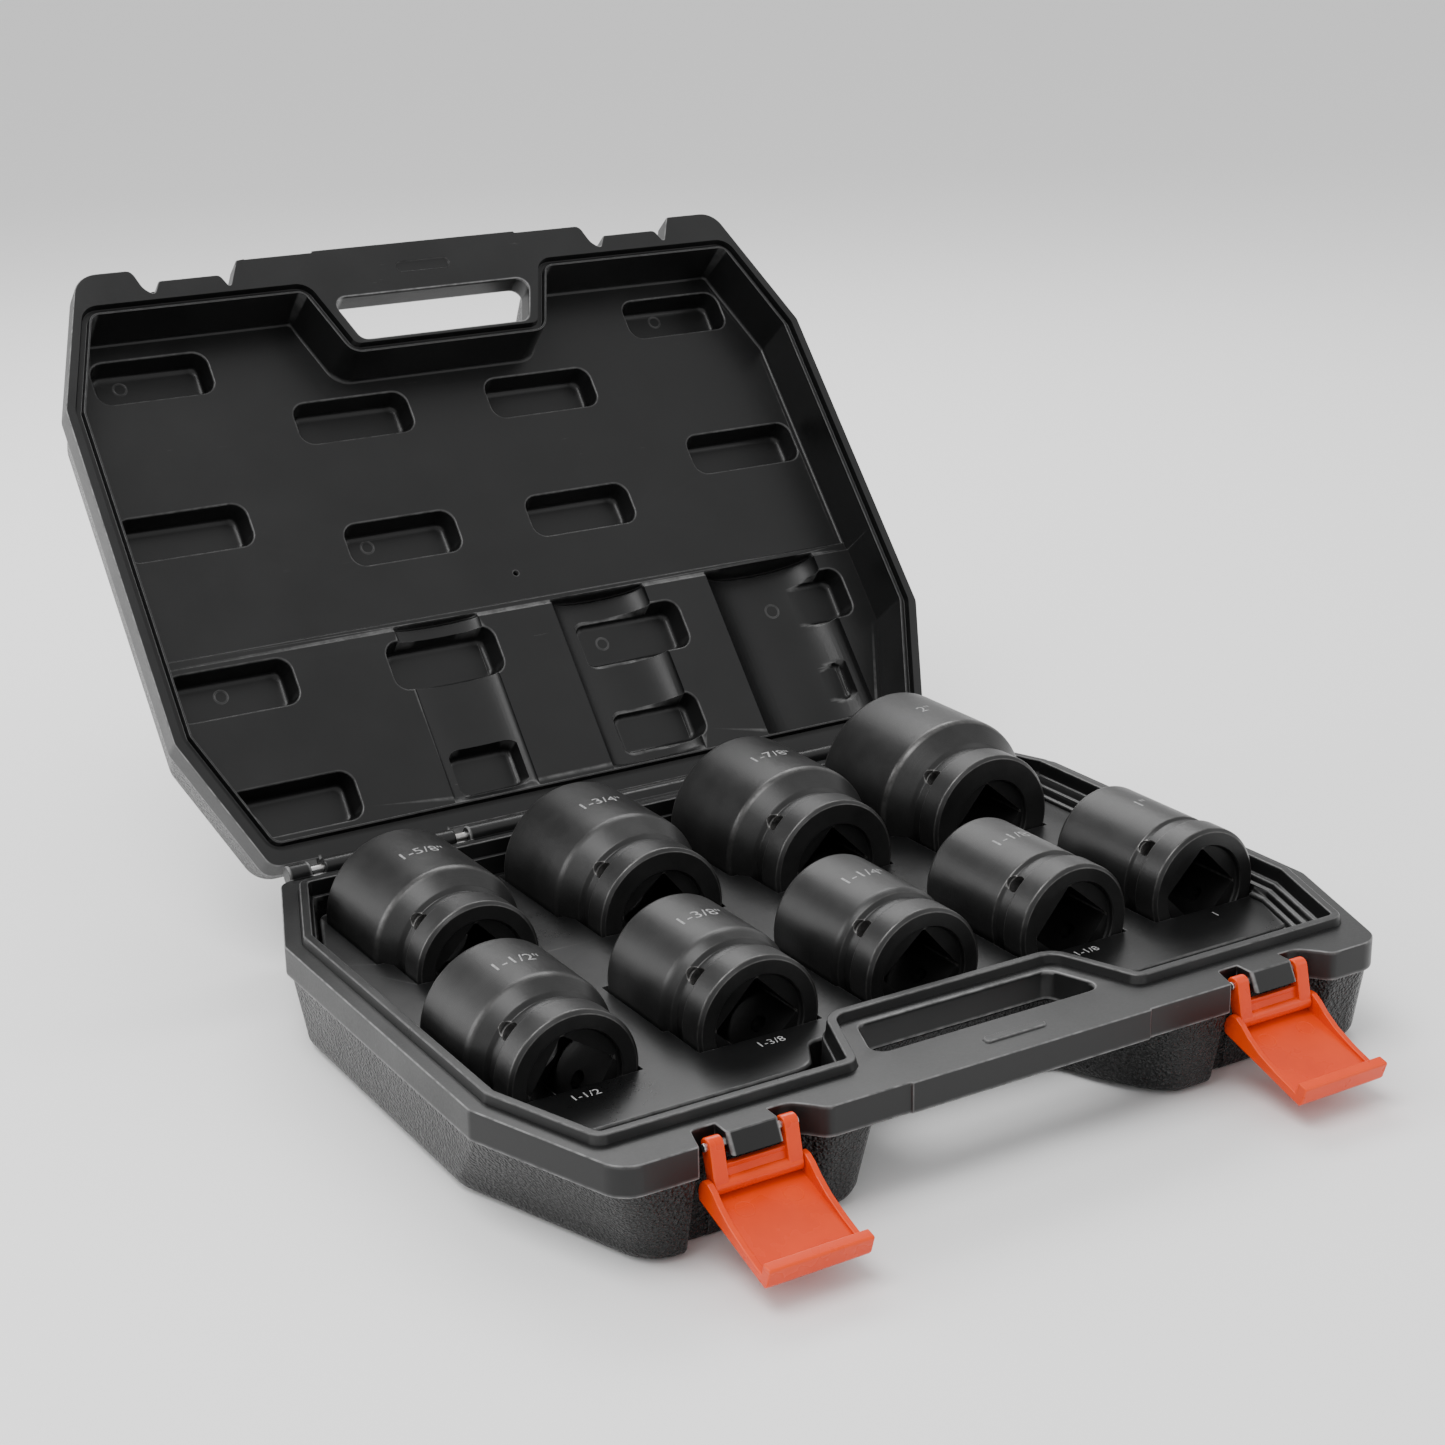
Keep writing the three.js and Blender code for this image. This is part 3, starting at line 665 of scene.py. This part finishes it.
def bevelled_x(outline, x0, x1, bevel=0.5):
    """Plate of a (y, z, radius) outline along X with rounded edges all round."""
    shape = Outline(outline)
    rings = [[(x, y, z) for y, z in shape.at(inset, 4)] for x, inset in round_ended(x0, x1, bevel)]
    skin = Skin().loft(rings, 0)
    count = len(rings[0])
    skin.add(rings[0], [tuple(range(count - 1, -1, -1))], 0)
    skin.add(rings[-1], [tuple(range(count))], 0)
    return skin


def rod_x(radius, x0, x1, y, z, edge=0.4, count=32):
    rings = []
    for x, inset in round_ended(x0, x1, edge):
        rings.append([(x, a, b) for a, b in circle(y, z, radius - inset, count)])
    return Skin().loft(rings, 0, caps=True)


def joined(skins):
    total = Skin()
    for skin in skins:
        start = len(total.verts)
        total.verts += skin.verts
        total.faces += [tuple(i + start for i in face) for face in skin.faces]
        total.finish += skin.finish
    return total


base = half_case(RIM_Z, BASE_NOTCH, lambda z: -140.6 - 3.0 * (RIM_Z - z) / 7.2, RIM_Z - 7.2, 0.0,
                 0.9, (6.4, 14.4, 1.0, 6.4, 2.9), BASE_OPENING, (13.6, 2.3, 1.0))
HINGE_BAR = [(142.8, 38.0, 0.8), (151.5, 38.0, 1.5), (152.6, 42.0, 1.5), (152.6, 45.5, 1.5),
             (150.3, 48.8, 1.5), (147.2, 48.6, 1.5), (144.6, 45.5, 1.0), (142.8, 44.0, 0.5)]
base_knuckles = [knuckle(a, b, -1) for a, b in ((-160, -150), (-78, -46), (46, 78), (150, 160))]
base = joined([base, bevelled_x(HINGE_BAR, -45, 45)] + base_knuckles)
make_piece("case_base_skin", base, "case_base", [SATIN, PEBBLE], ["base_shell"])

lid_z0 = RIM_Z + GAP / 2
lid = half_case(LID_H, LID_NOTCH, lambda z: -138.6, LID_H - 19.0, LID_H - 26.0,
                2.0, (6.4, 6.4, 6.4, 6.4, 1.0), LID_OPENING, (14.0, 3.0, -1.0))
lid.mapped(lambda v: (v[0], v[1], lid_z0 + LID_H - v[2]))
lid.faces = [tuple(reversed(face)) for face in lid.faces]
lid = joined([lid] + [knuckle(a, b, 1) for a, b in ((-144, -84), (84, 144))])
make_piece("case_lid_skin", lid, "lid", [SATIN, PEBBLE], ["lid_shell"], LID_TURN)


# ---- sockets: name, hex, bolt end, drive end, bolt length, x, sunk, back row ----
SOCKETS = [
    ("1_1_2", 1.5, 60, 52, 38.5, -141, 7.3, False), ("1_3_8", 1.375, 56.5, 52, 41, -65, 5.5, False),
    ("1_1_4", 1.25, 54, 52, 43, 8, 4.3, False), ("1_1_8", 1.125, 51, 52, 44, 80, 2.8, False),
    ("1", 1.0, 50, 52, 44, 146, 2.3, False), ("1_5_8", 1.625, 63.5, 52.5, 50, -124, 9.3, True),
    ("1_3_4", 1.75, 67, 56.5, 48, -42, 7.5, True), ("1_7_8", 1.875, 71, 58, 49.5, 41, 5.5, True),
    ("2", 2.0, 76, 60, 49.6, 122, 2.8, True),
]
GROOVE = (12.0, 20.0)
# how far some drive squares have rolled round in their troughs, in degrees
ROLL = {"1_1_2": 12, "1_1_4": -4, "1_1_8": 5, "1_3_4": -6, "2": 4}


def socket_span(back):
    return (42.0, 78.0) if back else (-67.5, 65.5)


# ---- tray ----
bead_profile = Profile([(-1, -0.5), (0, -0.5, 0.2), (0.25, BEAD_TOP, 0.6), (3.75, BEAD_TOP, 0.6),
                        (4.5, -3.2, 0.5), (5.4, -3.4, 0.4), (7.2, -24.0, 2.5), (14, -24.0)])
ridge_profile = Profile([(0, 0), (4.2, 0, 0.2), (4.8, -2.6, 0.6), (6.6, -2.9, 0.7), (7.2, -5.4, 0.6),
                         (9.0, -5.7, 0.7), (9.6, -8.2, 0.6), (11.4, -8.5, 0.7), (12.0, -10.6, 0.5),
                         (13, -30)])
deck_profile = Profile([(-9, CHANNEL_Z), (-3.2, CHANNEL_Z, 2.5), (-0.6, DECK_Z, 1.4), (3, DECK_Z)])
SIDES = Outline([(154.2, -155, 6), (181, -78, 6), (181, 200, 6), (-260, 200, 6), (-260, -155, 6)])
DECK = Outline(mirrored([(54, -81, 6), (63, -97.5, 8), (166, -97.5, 12), (172.5, -78, 6),
                         (172.5, 77.5, 6), (155, 125.6, 6)]))


def trough_radii(socket):
    _, _, bolt, drive, _, _, _, _ = socket
    return drive / 2 + 0.7, max(bolt, drive) / 2 + 0.7


def troughs_floor(points):
    """Height of the trough surfaces, far above the deck where there is none."""
    floor = np.full(len(points), 1e3)
    for socket in SOCKETS:
        _, _, bolt, _, bolt_l, x, sunk, back = socket
        y0, length = socket_span(back)
        narrow, wide = trough_radii(socket)
        step = y0 + length - bolt_l - 3.0
        across, along = points[:, 0] - x, points[:, 1]
        for radius, low, high in ((narrow, y0 - 0.7, y0 + length), (wide, step, y0 + length + 2.2)):
            past = np.maximum(low - along, along - high)
            shape = RIM_Z - sunk - np.sqrt(np.maximum(radius ** 2 - across ** 2, 0))
            wall = np.where(np.abs(across) < radius, shape, 1e3)
            lift = np.interp(past, [-0.9, 0.0, 0.45], [0.0, 0.8, 60.0])
            floor = np.minimum(floor, np.where(past < 0.45, wall + np.where(past > -0.9, lift, 0.0), 1e3))
    return floor


def tray_height(points):
    bead = RIM_Z + bead_profile(inside_distance(BEAD.at(0.0), points))
    ridges = RIM_Z + ridge_profile(inside_distance(SIDES.at(0.0), points))
    deck = deck_profile(inside_distance(DECK.at(0.0), points))
    tall = np.maximum(np.maximum(bead, deck), ridges)
    inner = inside_distance(BEAD.at(4.9), points) > 0
    floor = troughs_floor(points)
    blend = 0.7
    soft = np.clip(0.5 + 0.5 * (floor - tall) / blend, 0, 1)
    dipped = floor * (1 - soft) + tall * soft - blend * soft * (1 - soft)
    return np.where(inner & (floor < tall + blend), dipped, tall)


def tray_lines():
    lines = [(BEAD.at(d), True) for d in bead_profile.stops(0.05, 8)]
    for d in ridge_profile.stops(4.3, 12.4):
        run = SIDES.at(d)
        lines.append(([p for p in run if p[0] > 100 and p[1] < 190], False))
    lines += [(DECK.at(d), True) for d in deck_profile.stops(-5.5, 0.6)]
    for socket in SOCKETS:
        _, _, _, _, bolt_l, x, sunk, back = socket
        y0, length = socket_span(back)
        narrow, wide = trough_radii(socket)
        step = y0 + length - bolt_l - 3.0
        for radius, low, high in ((narrow, y0 - 0.7, step), (wide, step, y0 + length + 2.2)):
            ends = [low - 0.46, low - 0.3, low - 0.1, low, low + 0.9]
            ends += list(np.linspace(low + 4, high - 4, 4))
            ends += [high - 0.9, high, high + 0.1, high + 0.3, high + 0.46]
            top = math.degrees(math.acos(max(0.0, (RIM_Z - sunk - DECK_Z)) / radius))
            angles = list(range(0, int(top), 5))
            angles += [top - 1.2, top - 0.6, top, top + 0.6, top + 1.5, top + 3]
            reach = radius * math.sin(math.radians(min(90, top + 3)))
            for angle in angles:
                dx = radius * math.sin(math.radians(min(angle, 90)))
                for side in (-1, 1):
                    lines.append(([(x + side * dx, ends[0]), (x + side * dx, ends[-1])], False))
            for y in ends:
                lines.append(([(x - reach, y), (x + reach, y)], False))
    return lines


tray = relief(BEAD.at(-BASE_OPENING), tray_lines(), tray_height)
make_piece("case_tray_skin", tray, "case_base", [TRAY], ["base_tray"])


# ---- lid liner, in closed coordinates as depth behind the rim ----
wall_profile = Profile([(-1, 0), (0.0, 0, 0.15), (0.5, 3.4, 0.5), (3.2, 3.4, 0.5), (3.6, 0.3, 0.25),
                        (4.5, 0.3, 0.35), (5.9, 24.0, 0.8), (8.0, 26.5, 1.6), (40, 26.5)], 5)
field_profile = Profile([(-200, FIELD_UPPER), (34.6, FIELD_UPPER, 0.4), (35.2, FIELD_UPPER - 1.0, 0.4),
                         (38.8, FIELD_UPPER - 1.0, 0.4), (39.4, FIELD_LOWER, 0.4), (200, FIELD_LOWER)])
POCKET_DEPTH = POCKET_FLOOR - FIELD_UPPER
pocket_profile = Profile([(-3, 0), (-0.5, 0, 0.9), (1.5, POCKET_DEPTH, 2.6), (30, POCKET_DEPTH)], 5)
# centre x, centre y, width, depth along y
POCKETS = [
    (-136.5, -103.6, 54, 20.5), (136.5, -103.6, 54, 20.5), (-49, -70.5, 56, 20.5), (49, -70.5, 56, 20.5),
    (-144.7, -25, 59, 20.5), (144.7, -25, 59, 20.5), (-46.2, -6, 54, 20.5), (46.2, -6, 54, 20.5),
    (-147.5, 53.5, 56, 21.5), (-47.5, 56.5, 53, 23), (48.5, 61, 53, 24), (140.5, 60.5, 55, 25),
    (-137, 111, 56, 22), (-44.5, 111, 35, 22), (45, 107, 42, 22), (132, 103, 48, 22),
]
# centre x, half width, top depth, start y
HOLLOWS = [(-46, 21, 27.6, 38.0), (37.3, 24.7, 31.8, 38.0), (127, 31, 37.0, 38.0)]
# ejector marks in some pockets and the vent between them: centre x, centre y, radius
RINGS = [(-149, -106, 3.0), (131, -107, 3.0), (-150, 51, 3.0), (36, 60, 3.0), (132, 59, 3.4),
         (-60, -9, 3.0)]
VENT = (1.6, 20.9)


def box_distance(points, x, y, half_w, half_d, radius):
    """Distance inside a rounded rectangle, negative outside."""
    qx = np.abs(points[:, 0] - x) - half_w + radius
    qy = np.abs(points[:, 1] - y) - half_d + radius
    outside = np.hypot(np.maximum(qx, 0), np.maximum(qy, 0))
    return radius - outside - np.minimum(np.maximum(qx, qy), 0)


def liner_depth(points):
    wall = wall_profile(inside_distance(BEAD.at(-LID_OPENING), points))
    depth = np.minimum(wall, field_profile(points[:, 1]))
    field = depth.copy()
    for x, half_w, top, start in HOLLOWS:
        across = np.clip(np.abs(points[:, 0] - x) / half_w, 0, 1)
        dome = FIELD_LOWER + (top - FIELD_LOWER) * np.sqrt(1 - across ** 2)
        along = np.interp(points[:, 1], [start - 0.6, start, 122.0, 126.0], [0.0, 1.0, 1.0, 0.0])
        depth = np.where(along > 0, np.maximum(depth, field + (dome - FIELD_LOWER) * along), depth)
    for x, y, width, deep in POCKETS:
        inside = box_distance(points, x, y, width / 2, deep / 2, 6.0)
        depth = np.where(inside > -1.5, np.maximum(depth, field + pocket_profile(inside)), depth)
    for x, y, radius in RINGS:
        from_ring = np.abs(np.hypot(points[:, 0] - x, points[:, 1] - y) - radius)
        depth = depth + np.interp(from_ring, [0, 0.25], [0.09, 0.0])
    vent = np.hypot(points[:, 0] - VENT[0], points[:, 1] - VENT[1])
    return depth + np.interp(vent, [1.1, 1.5], [4.0, 0.0])


def liner_lines():
    lines = [(BEAD.at(d - LID_OPENING), True) for d in wall_profile.stops(0.05, 9)]
    lines += [([(-200, y), (200, y)], False) for y in field_profile.stops(30, 45)]
    for x, half_w, _, start in HOLLOWS:
        for a in range(0, 91, 6):
            dx = half_w * math.sin(math.radians(a))
            for side in (-1, 1):
                lines.append(([(x + side * dx, start - 0.8), (x + side * dx, 126)], False))
        for y in (start - 0.8, start - 0.4, start, start + 0.6, 121.5, 122.5, 124, 126):
            lines.append(([(x - half_w, y), (x + half_w, y)], False))
    for x, y, width, deep in POCKETS:
        base_pill = pill(x, y, width / 2, deep / 2, 6.0)
        for d in pocket_profile.stops(-1.6, 5):
            lines.append((base_pill.at(d, 6), True))
    for x, y, radius in RINGS:
        lines += [(circle(x, y, radius + d), True) for d in (-0.7, -0.25, 0.0, 0.25, 0.7)]
    lines += [(circle(*VENT, r, 16), True) for r in (1.1, 1.5, 1.9, 2.6)]
    return lines


liner = relief(BEAD.at(-LID_OPENING), liner_lines(), liner_depth)
liner.mapped(lambda v: (v[0], v[1], lid_z0 + v[2]))
make_piece("case_liner_skin", liner, "lid", [LINER], ["lid_liner"], LID_TURN, flip=True)


# ---- sockets ----
def turned(profile, count=96):
    """Closed lathe skin about the Y axis from (radius, y) points that start and end on the axis."""
    skin = Skin()
    rings = [[(r * math.cos(2 * math.pi * k / count), y, r * math.sin(2 * math.pi * k / count))
              for k in range(count)] for r, y in profile if r > 0]
    skin.loft(rings, 0)
    skin.add(rings[0], [tuple(range(count))], 0)
    skin.add(rings[-1], [tuple(range(count - 1, -1, -1))], 0)
    return skin


def prism_y(outline, y0, y1, flare=0.0):
    """Prism along Y of an (x, z) outline, flared over its last part."""
    rings = []
    for y, grow in ((y0, 1.0), (y1 - 0.6, 1.0), (y1, 1.0 + flare)):
        rings.append([(x * grow, y, z * grow) for x, z in outline])
    skin = Skin().loft(rings, 0)
    skin.add(rings[0], [tuple(range(len(outline) - 1, -1, -1))], 0)
    skin.add(rings[-1], [tuple(range(len(outline)))], 0)
    return skin


def polygon(sides, radius, corner, start):
    points = []
    for k in range(sides):
        a = start + 2 * math.pi * k / sides
        points.append((radius * math.cos(a), radius * math.sin(a), corner))
    return Outline(points).at(0.0, 3)


def raw_object(name, skin, finish):
    mesh = bpy.data.meshes.new(name)
    mesh.from_pydata([tuple(Vector(v) * MM) for v in skin.verts], [], skin.faces)
    mesh.materials.append(finish)
    work = bmesh.new()
    work.from_mesh(mesh)
    bmesh.ops.remove_doubles(work, verts=work.verts, dist=0.000002)
    bmesh.ops.recalc_face_normals(work, faces=work.faces)
    work.to_mesh(mesh)
    work.free()
    made = bpy.data.objects.new(name, mesh)
    bpy.context.scene.collection.objects.link(made)
    return made


def cut_mesh(body, tools):
    """The body's mesh less every tool, with the tools removed from the scene."""
    for tool in tools:
        cut = body.modifiers.new("cut", "BOOLEAN")
        cut.operation = "DIFFERENCE"
        cut.solver = "EXACT"
        cut.object = tool
    bpy.context.view_layer.update()
    mesh = bpy.data.meshes.new_from_object(body.evaluated_get(bpy.context.evaluated_depsgraph_get()))
    for thing in [body] + tools:
        bpy.data.objects.remove(thing)
    return mesh


def socket_mesh(socket):
    name, hex_size, bolt, drive, bolt_l, x, sunk, back = socket
    y0, length = socket_span(back)
    rb, rd = bolt / 2, drive / 2
    neck = rd - 2.0
    g0, g1 = GROOVE
    meets = min(rd, rb)
    corners = [(0.1, 0.0, 0), (rd - 1.4, 0.0, 0.35), (rd, 1.4, 0.5), (rd, g0, 0.45), (neck, g0 + 1.3, 0.5),
               (neck, g1 - 1.3, 0.5), (meets, g1, 0.45)]
    if abs(rb - meets) > 0.3:
        corners.append((rb, length - bolt_l, 2.0))
    corners += [(rb, length - 1.8, 1.0), (rb - 1.5, length, 0.7), (rb - 4.0, length, 0.2), (0.1, length, 0)]
    line = rounded_line(corners, 4)
    body = raw_object("body", turned(line), STEEL)
    mouth_line = rounded_line([(0.1, 2.6, 0), (18.2, 2.6, 0.3), (18.7, 2.0, 0.3),
                               (18.9, 0.4, 0.2), (19.6, -0.4, 0), (0.1, -0.5, 0)], 3)
    # the cut faces take the darker steel: painted shade inside the socket
    tools = [raw_object("mouth", turned(list(reversed(mouth_line)), 72), STEEL_SHADED)]
    square = polygon(4, INCH / math.sqrt(2) - 0.5, 1.0, math.radians(ROLL.get(name, 0)))
    tools.append(raw_object("square", prism_y(square, 2.0, 33.0), STEEL_SHADED))
    hexagon = polygon(6, hex_size * INCH / math.sqrt(3) + 0.2, 0.8, math.pi / 2)
    tools.append(raw_object("hex", prism_y(hexagon, 34.0, length + 0.3, 0.035), STEEL_SHADED))
    tools.append(raw_object("bore", turned([(0.1, 30), (11.0, 30), (11.0, 36), (0.1, 36)], 48), STEEL_SHADED))
    hole = Skin()
    spin = Matrix.Rotation(math.radians(45), 4, "Y")
    middle = (g0 + g1) / 2
    rings = []
    for reach, radius in ((-rd - 2, 4.3), (-neck - 0.1, 3.9), (-neck + 0.5, 3.5), (-8, 3.5),
                          (8, 3.5), (neck - 0.5, 3.5), (neck + 0.1, 3.9), (rd + 2, 4.3)):
        rings.append([spin @ Vector((reach, a, b)) for a, b in circle(middle, 0.0, radius, 32)])
    hole.loft(rings, 0, caps=True)
    tools.append(raw_object("pin_hole", hole, STEEL_SHADED))
    mesh = cut_mesh(body, tools)
    mesh.transform(Matrix.Translation(Vector((x, y0, RIM_Z - sunk)) * MM))
    return mesh


for socket in SOCKETS:
    made = socket_mesh(socket)
    name = f"socket_{socket[0]}"
    finish_piece(f"{name}_body", made, name, [], [f"{name}_in"], sharp=30.0)


# ---- latches ----
def link_skin(pin, foot):
    """Two arms from the tongue's pin down to the cylinder that carries the lever."""
    down = foot - pin
    along = down.normalized()
    side = Vector((-along.y, along.x))
    skins = []
    tip = down.length + 1.5
    for x0, x1 in ((-17.4, -11.6), (11.6, 17.4)):
        corners = []
        for t, s, r in ((-3.2, 3.2, 2.9), (-3.2, -3.2, 2.9), (tip, -2.6, 1.2), (tip, 2.6, 1.2)):
            spot = pin + along * t + side * s
            corners.append((spot.x, spot.y, r))
        skins.append(bevelled_x(corners, x0, x1, 0.7))
    tie = pin + down * 0.55
    bar = [(tie.x + a, tie.y + b, 0.5) for a, b in ((-1.2, -1.0), (1.2, -1.0), (1.2, 1.0), (-1.2, 1.0))]
    skins.append(bevelled_x(bar, -12.4, 12.4, 0.2))
    web = []
    web_top, web_end = down.length * 0.52, down.length + 0.5
    for t, s in ((web_top, -0.9), (web_end, -0.9), (web_end, 0.7), (web_top, 0.7)):
        spot = pin + along * t + side * s
        web.append((spot.x, spot.y, 0.3))
    skins.append(bevelled_x(web, -12.4, 12.4, 0.1))
    skins.append(rod_x(2.85, -17.3, 17.3, foot.x, foot.y, 0.6))
    skins.append(rod_x(1.6, -20.1, 20.1, foot.x, foot.y, 0.3))
    return joined(skins)


LEVER_DROOP = math.radians(18)
LEVER_L = 41.4
LEVER_HALF = 20.2


def lever_skin(pin):
    """Plate with curved cheeks and a raised lip, drooping from its pin."""
    c, s = math.cos(LEVER_DROOP), math.sin(LEVER_DROOP)

    def turned_out(points):
        placed = []
        for u, v, r in points:
            y, z = -u, v
            placed.append((pin.x + y * c - z * s, pin.y + y * s + z * c, r))
        return placed

    lip_in = LEVER_L - 4.4
    plate = turned_out([(-2, -6, 1.2), (-2, -3.5, 0.8), (lip_in + 1, -3.5, 0.2), (lip_in + 1, -6, 0.2)])
    lip = turned_out([(lip_in, -5.9, 0.3), (lip_in, 2.3, 0.5), (LEVER_L, 2.6, 0.9),
                      (LEVER_L, -4.2, 1.0), (LEVER_L - 0.9, -6, 0.8)])
    cheek = turned_out([(-2, -5.95, 1.2), (-3.4, -3.0, 1.0), (-3.4, 0, 1.8), (-2, 2.8, 1.8),
                        (1.0, 3.5, 2.0), (4.5, 2.6, 3.0), (9, 0.6, 5.0), (16, -1.3, 6.0),
                        (26, -2.3, 6.0), (lip_in + 1, -2.5, 0.3), (lip_in + 1, -5.95, 0.3)])
    skins = [bevelled_x(plate, -LEVER_HALF + 1.2, LEVER_HALF - 1.2, 0.15),
             bevelled_x(lip, -LEVER_HALF, LEVER_HALF, 0.55)]
    for x0, x1 in ((-LEVER_HALF, -LEVER_HALF + 2.4), (LEVER_HALF - 2.4, LEVER_HALF)):
        skins.append(bevelled_x(cheek, x0, x1, 0.45))
    for x in (-9.5, 9.5):
        rings = []
        for radius, rise in ((3.6, -0.05), (3.45, 0.14), (3.2, 0.14), (3.05, -0.05)):
            mark = circle(9.5, 0.0, radius, 28)
            places = turned_out([(u, -3.5 + rise, 0) for u, _ in mark])
            rings.append([(x + side, y, z) for (_, side), (y, z, _) in zip(mark, places)])
        skins.append(Skin().loft(rings, 0))
    return joined(skins)


def shifted(skin, dx):
    return skin.mapped(lambda v: (v[0] + dx, v[1], v[2]))


for side, word in ((-1, "left"), (1, "right")):
    x = side * LATCH_X
    pin = joint_place(f"link_{word}_pivot").yz
    foot = joint_place(f"lever_{word}_pivot").yz
    link = shifted(link_skin(pin, foot), x)
    make_piece(f"latch_link_{word}_skin", link, f"link_{word}", [ORANGE],
               [f"latch_link_{word}"])
    lever = shifted(lever_skin(foot), x)
    make_piece(f"latch_lever_{word}_skin", lever, f"lever_{word}", [ORANGE],
               [f"latch_lever_{word}"])
    latch_rod = rod_x(1.5, x - 18.4, x + 18.4, pin.x, pin.y, 0.3)
    make_piece(f"latch_pin_{word}_rod", latch_rod, "case_base", [PIN],
               [f"latch_pin_{word}"])
    near, far = sorted((side * 47, side * 159))
    hinge_rod = rod_x(2.0, near, far, HINGE.y, HINGE.z)
    make_piece(f"hinge_pin_{word}_rod", hinge_rod, "case_base", [PIN],
               [f"hinge_pin_{word}"])


# ---- size marks ----
def text_mesh(words, size):
    curve = bpy.data.curves.new("words", "FONT")
    curve.body = words
    curve.size = size
    curve.align_x = "CENTER"
    curve.align_y = "CENTER"
    curve.resolution_u = 3
    carrier = bpy.data.objects.new("words", curve)
    bpy.context.scene.collection.objects.link(carrier)
    bpy.context.view_layer.update()
    mesh = bpy.data.meshes.new_from_object(carrier.evaluated_get(bpy.context.evaluated_depsgraph_get()))
    bpy.data.objects.remove(carrier)
    work = bmesh.new()
    work.from_mesh(mesh)
    for _ in range(4):
        long_edges = [e for e in work.edges if e.calc_length() > 0.7]
        bmesh.ops.subdivide_edges(work, edges=long_edges, cuts=1)
        bmesh.ops.triangulate(work, faces=work.faces)
    work.to_mesh(mesh)
    work.free()
    return mesh


def spoken(name):
    parts = name.split("_")
    return parts[0] if len(parts) == 1 else f"{parts[0]}-{parts[1]}/{parts[2]}"


for socket in SOCKETS:
    name, _, bolt, drive, bolt_l, x, sunk, back = socket
    y0, length = socket_span(back)
    etched = text_mesh(spoken(name) + '"', 8.5)
    radius = bolt / 2 + 0.05
    middle = y0 + length - bolt_l * 0.5 - 3.4
    for vert in etched.vertices:
        around = math.radians(90) - vert.co.x / radius
        along = middle + vert.co.y
        height = RIM_Z - sunk + radius * math.sin(around)
        vert.co = Vector((x + radius * math.cos(around), along, height)) * MM
    finish_piece(f"socket_{name}_size", etched, f"socket_{name}", [ETCH])
    if not back:
        printed = text_mesh(spoken(name), 5.6)
        for vert in printed.vertices:
            vert.co = Vector((x + vert.co.x, y0 - 7.0 + vert.co.y, DECK_Z + 0.04)) * MM
        finish_piece(f"tray_{name}_size", printed, "case_base", [PRINT])


# ---- studio ----
def area_light(name, place, aim, size, power):
    lamp = bpy.data.lights.new(name, "AREA")
    lamp.shape = "RECTANGLE"
    lamp.size, lamp.size_y = size
    lamp.energy = power
    holder = bpy.data.objects.new(name, lamp)
    holder.location = place
    holder.rotation_euler = (Vector(aim) - Vector(place)).to_track_quat("-Z", "Y").to_euler()
    bpy.context.scene.collection.objects.link(holder)


floor_mesh = bpy.data.meshes.new("studio_floor")
SPAN = 30.0
floor_corners = [(-SPAN, -SPAN, 0), (SPAN, -SPAN, 0), (SPAN, SPAN, 0), (-SPAN, SPAN, 0)]
floor_mesh.from_pydata(floor_corners, [], [(0, 1, 2, 3)])
floor_shader = Shader("studio_floor")
floor_mesh.materials.append(floor_shader.set(Base_Color=(0.86, 0.86, 0.86, 1), Roughness=0.9))
floor = bpy.data.objects.new("studio_floor", floor_mesh)
floor.location.z = -0.0003
bpy.context.scene.collection.objects.link(floor)

world = bpy.data.worlds.new("studio")
world.use_nodes = True
world.node_tree.nodes["Background"].inputs["Color"].default_value = (1, 1, 1, 1)
world.node_tree.nodes["Background"].inputs["Strength"].default_value = 1.0
bpy.context.scene.world = world
area_light("key", (-0.7, -0.2, 1.7), (0, 0.0, 0.1), (1.1, 0.9), 24)
area_light("back", (0.5, 1.3, 1.4), (0, 0.1, 0.1), (1.4, 0.7), 20)
area_light("left", (-1.5, 1.1, 0.7), (-0.1, 0.2, 0.15), (0.9, 0.9), 16)
area_light("side", (1.3, -0.9, 0.8), (0, 0, 0.05), (0.8, 0.8), 3)

# ---- camera ----
camera_data = bpy.data.cameras.new("camera")
camera_data.lens = 63.81
camera_data.sensor_width = 36.0
camera_data.clip_start = 0.05
camera = bpy.data.objects.new("camera", camera_data)
right, up, back = (0.8540, -0.5200, -0.0177), (0.1822, 0.2670, 0.9463), (-0.4873, -0.8114, 0.3228)
turn = Matrix((right, up, back)).transposed().to_4x4()
camera.matrix_world = Matrix.Translation(Vector((-509.2, -784.3, 442.5)) * MM) @ turn
bpy.context.scene.collection.objects.link(camera)
bpy.context.scene.camera = camera
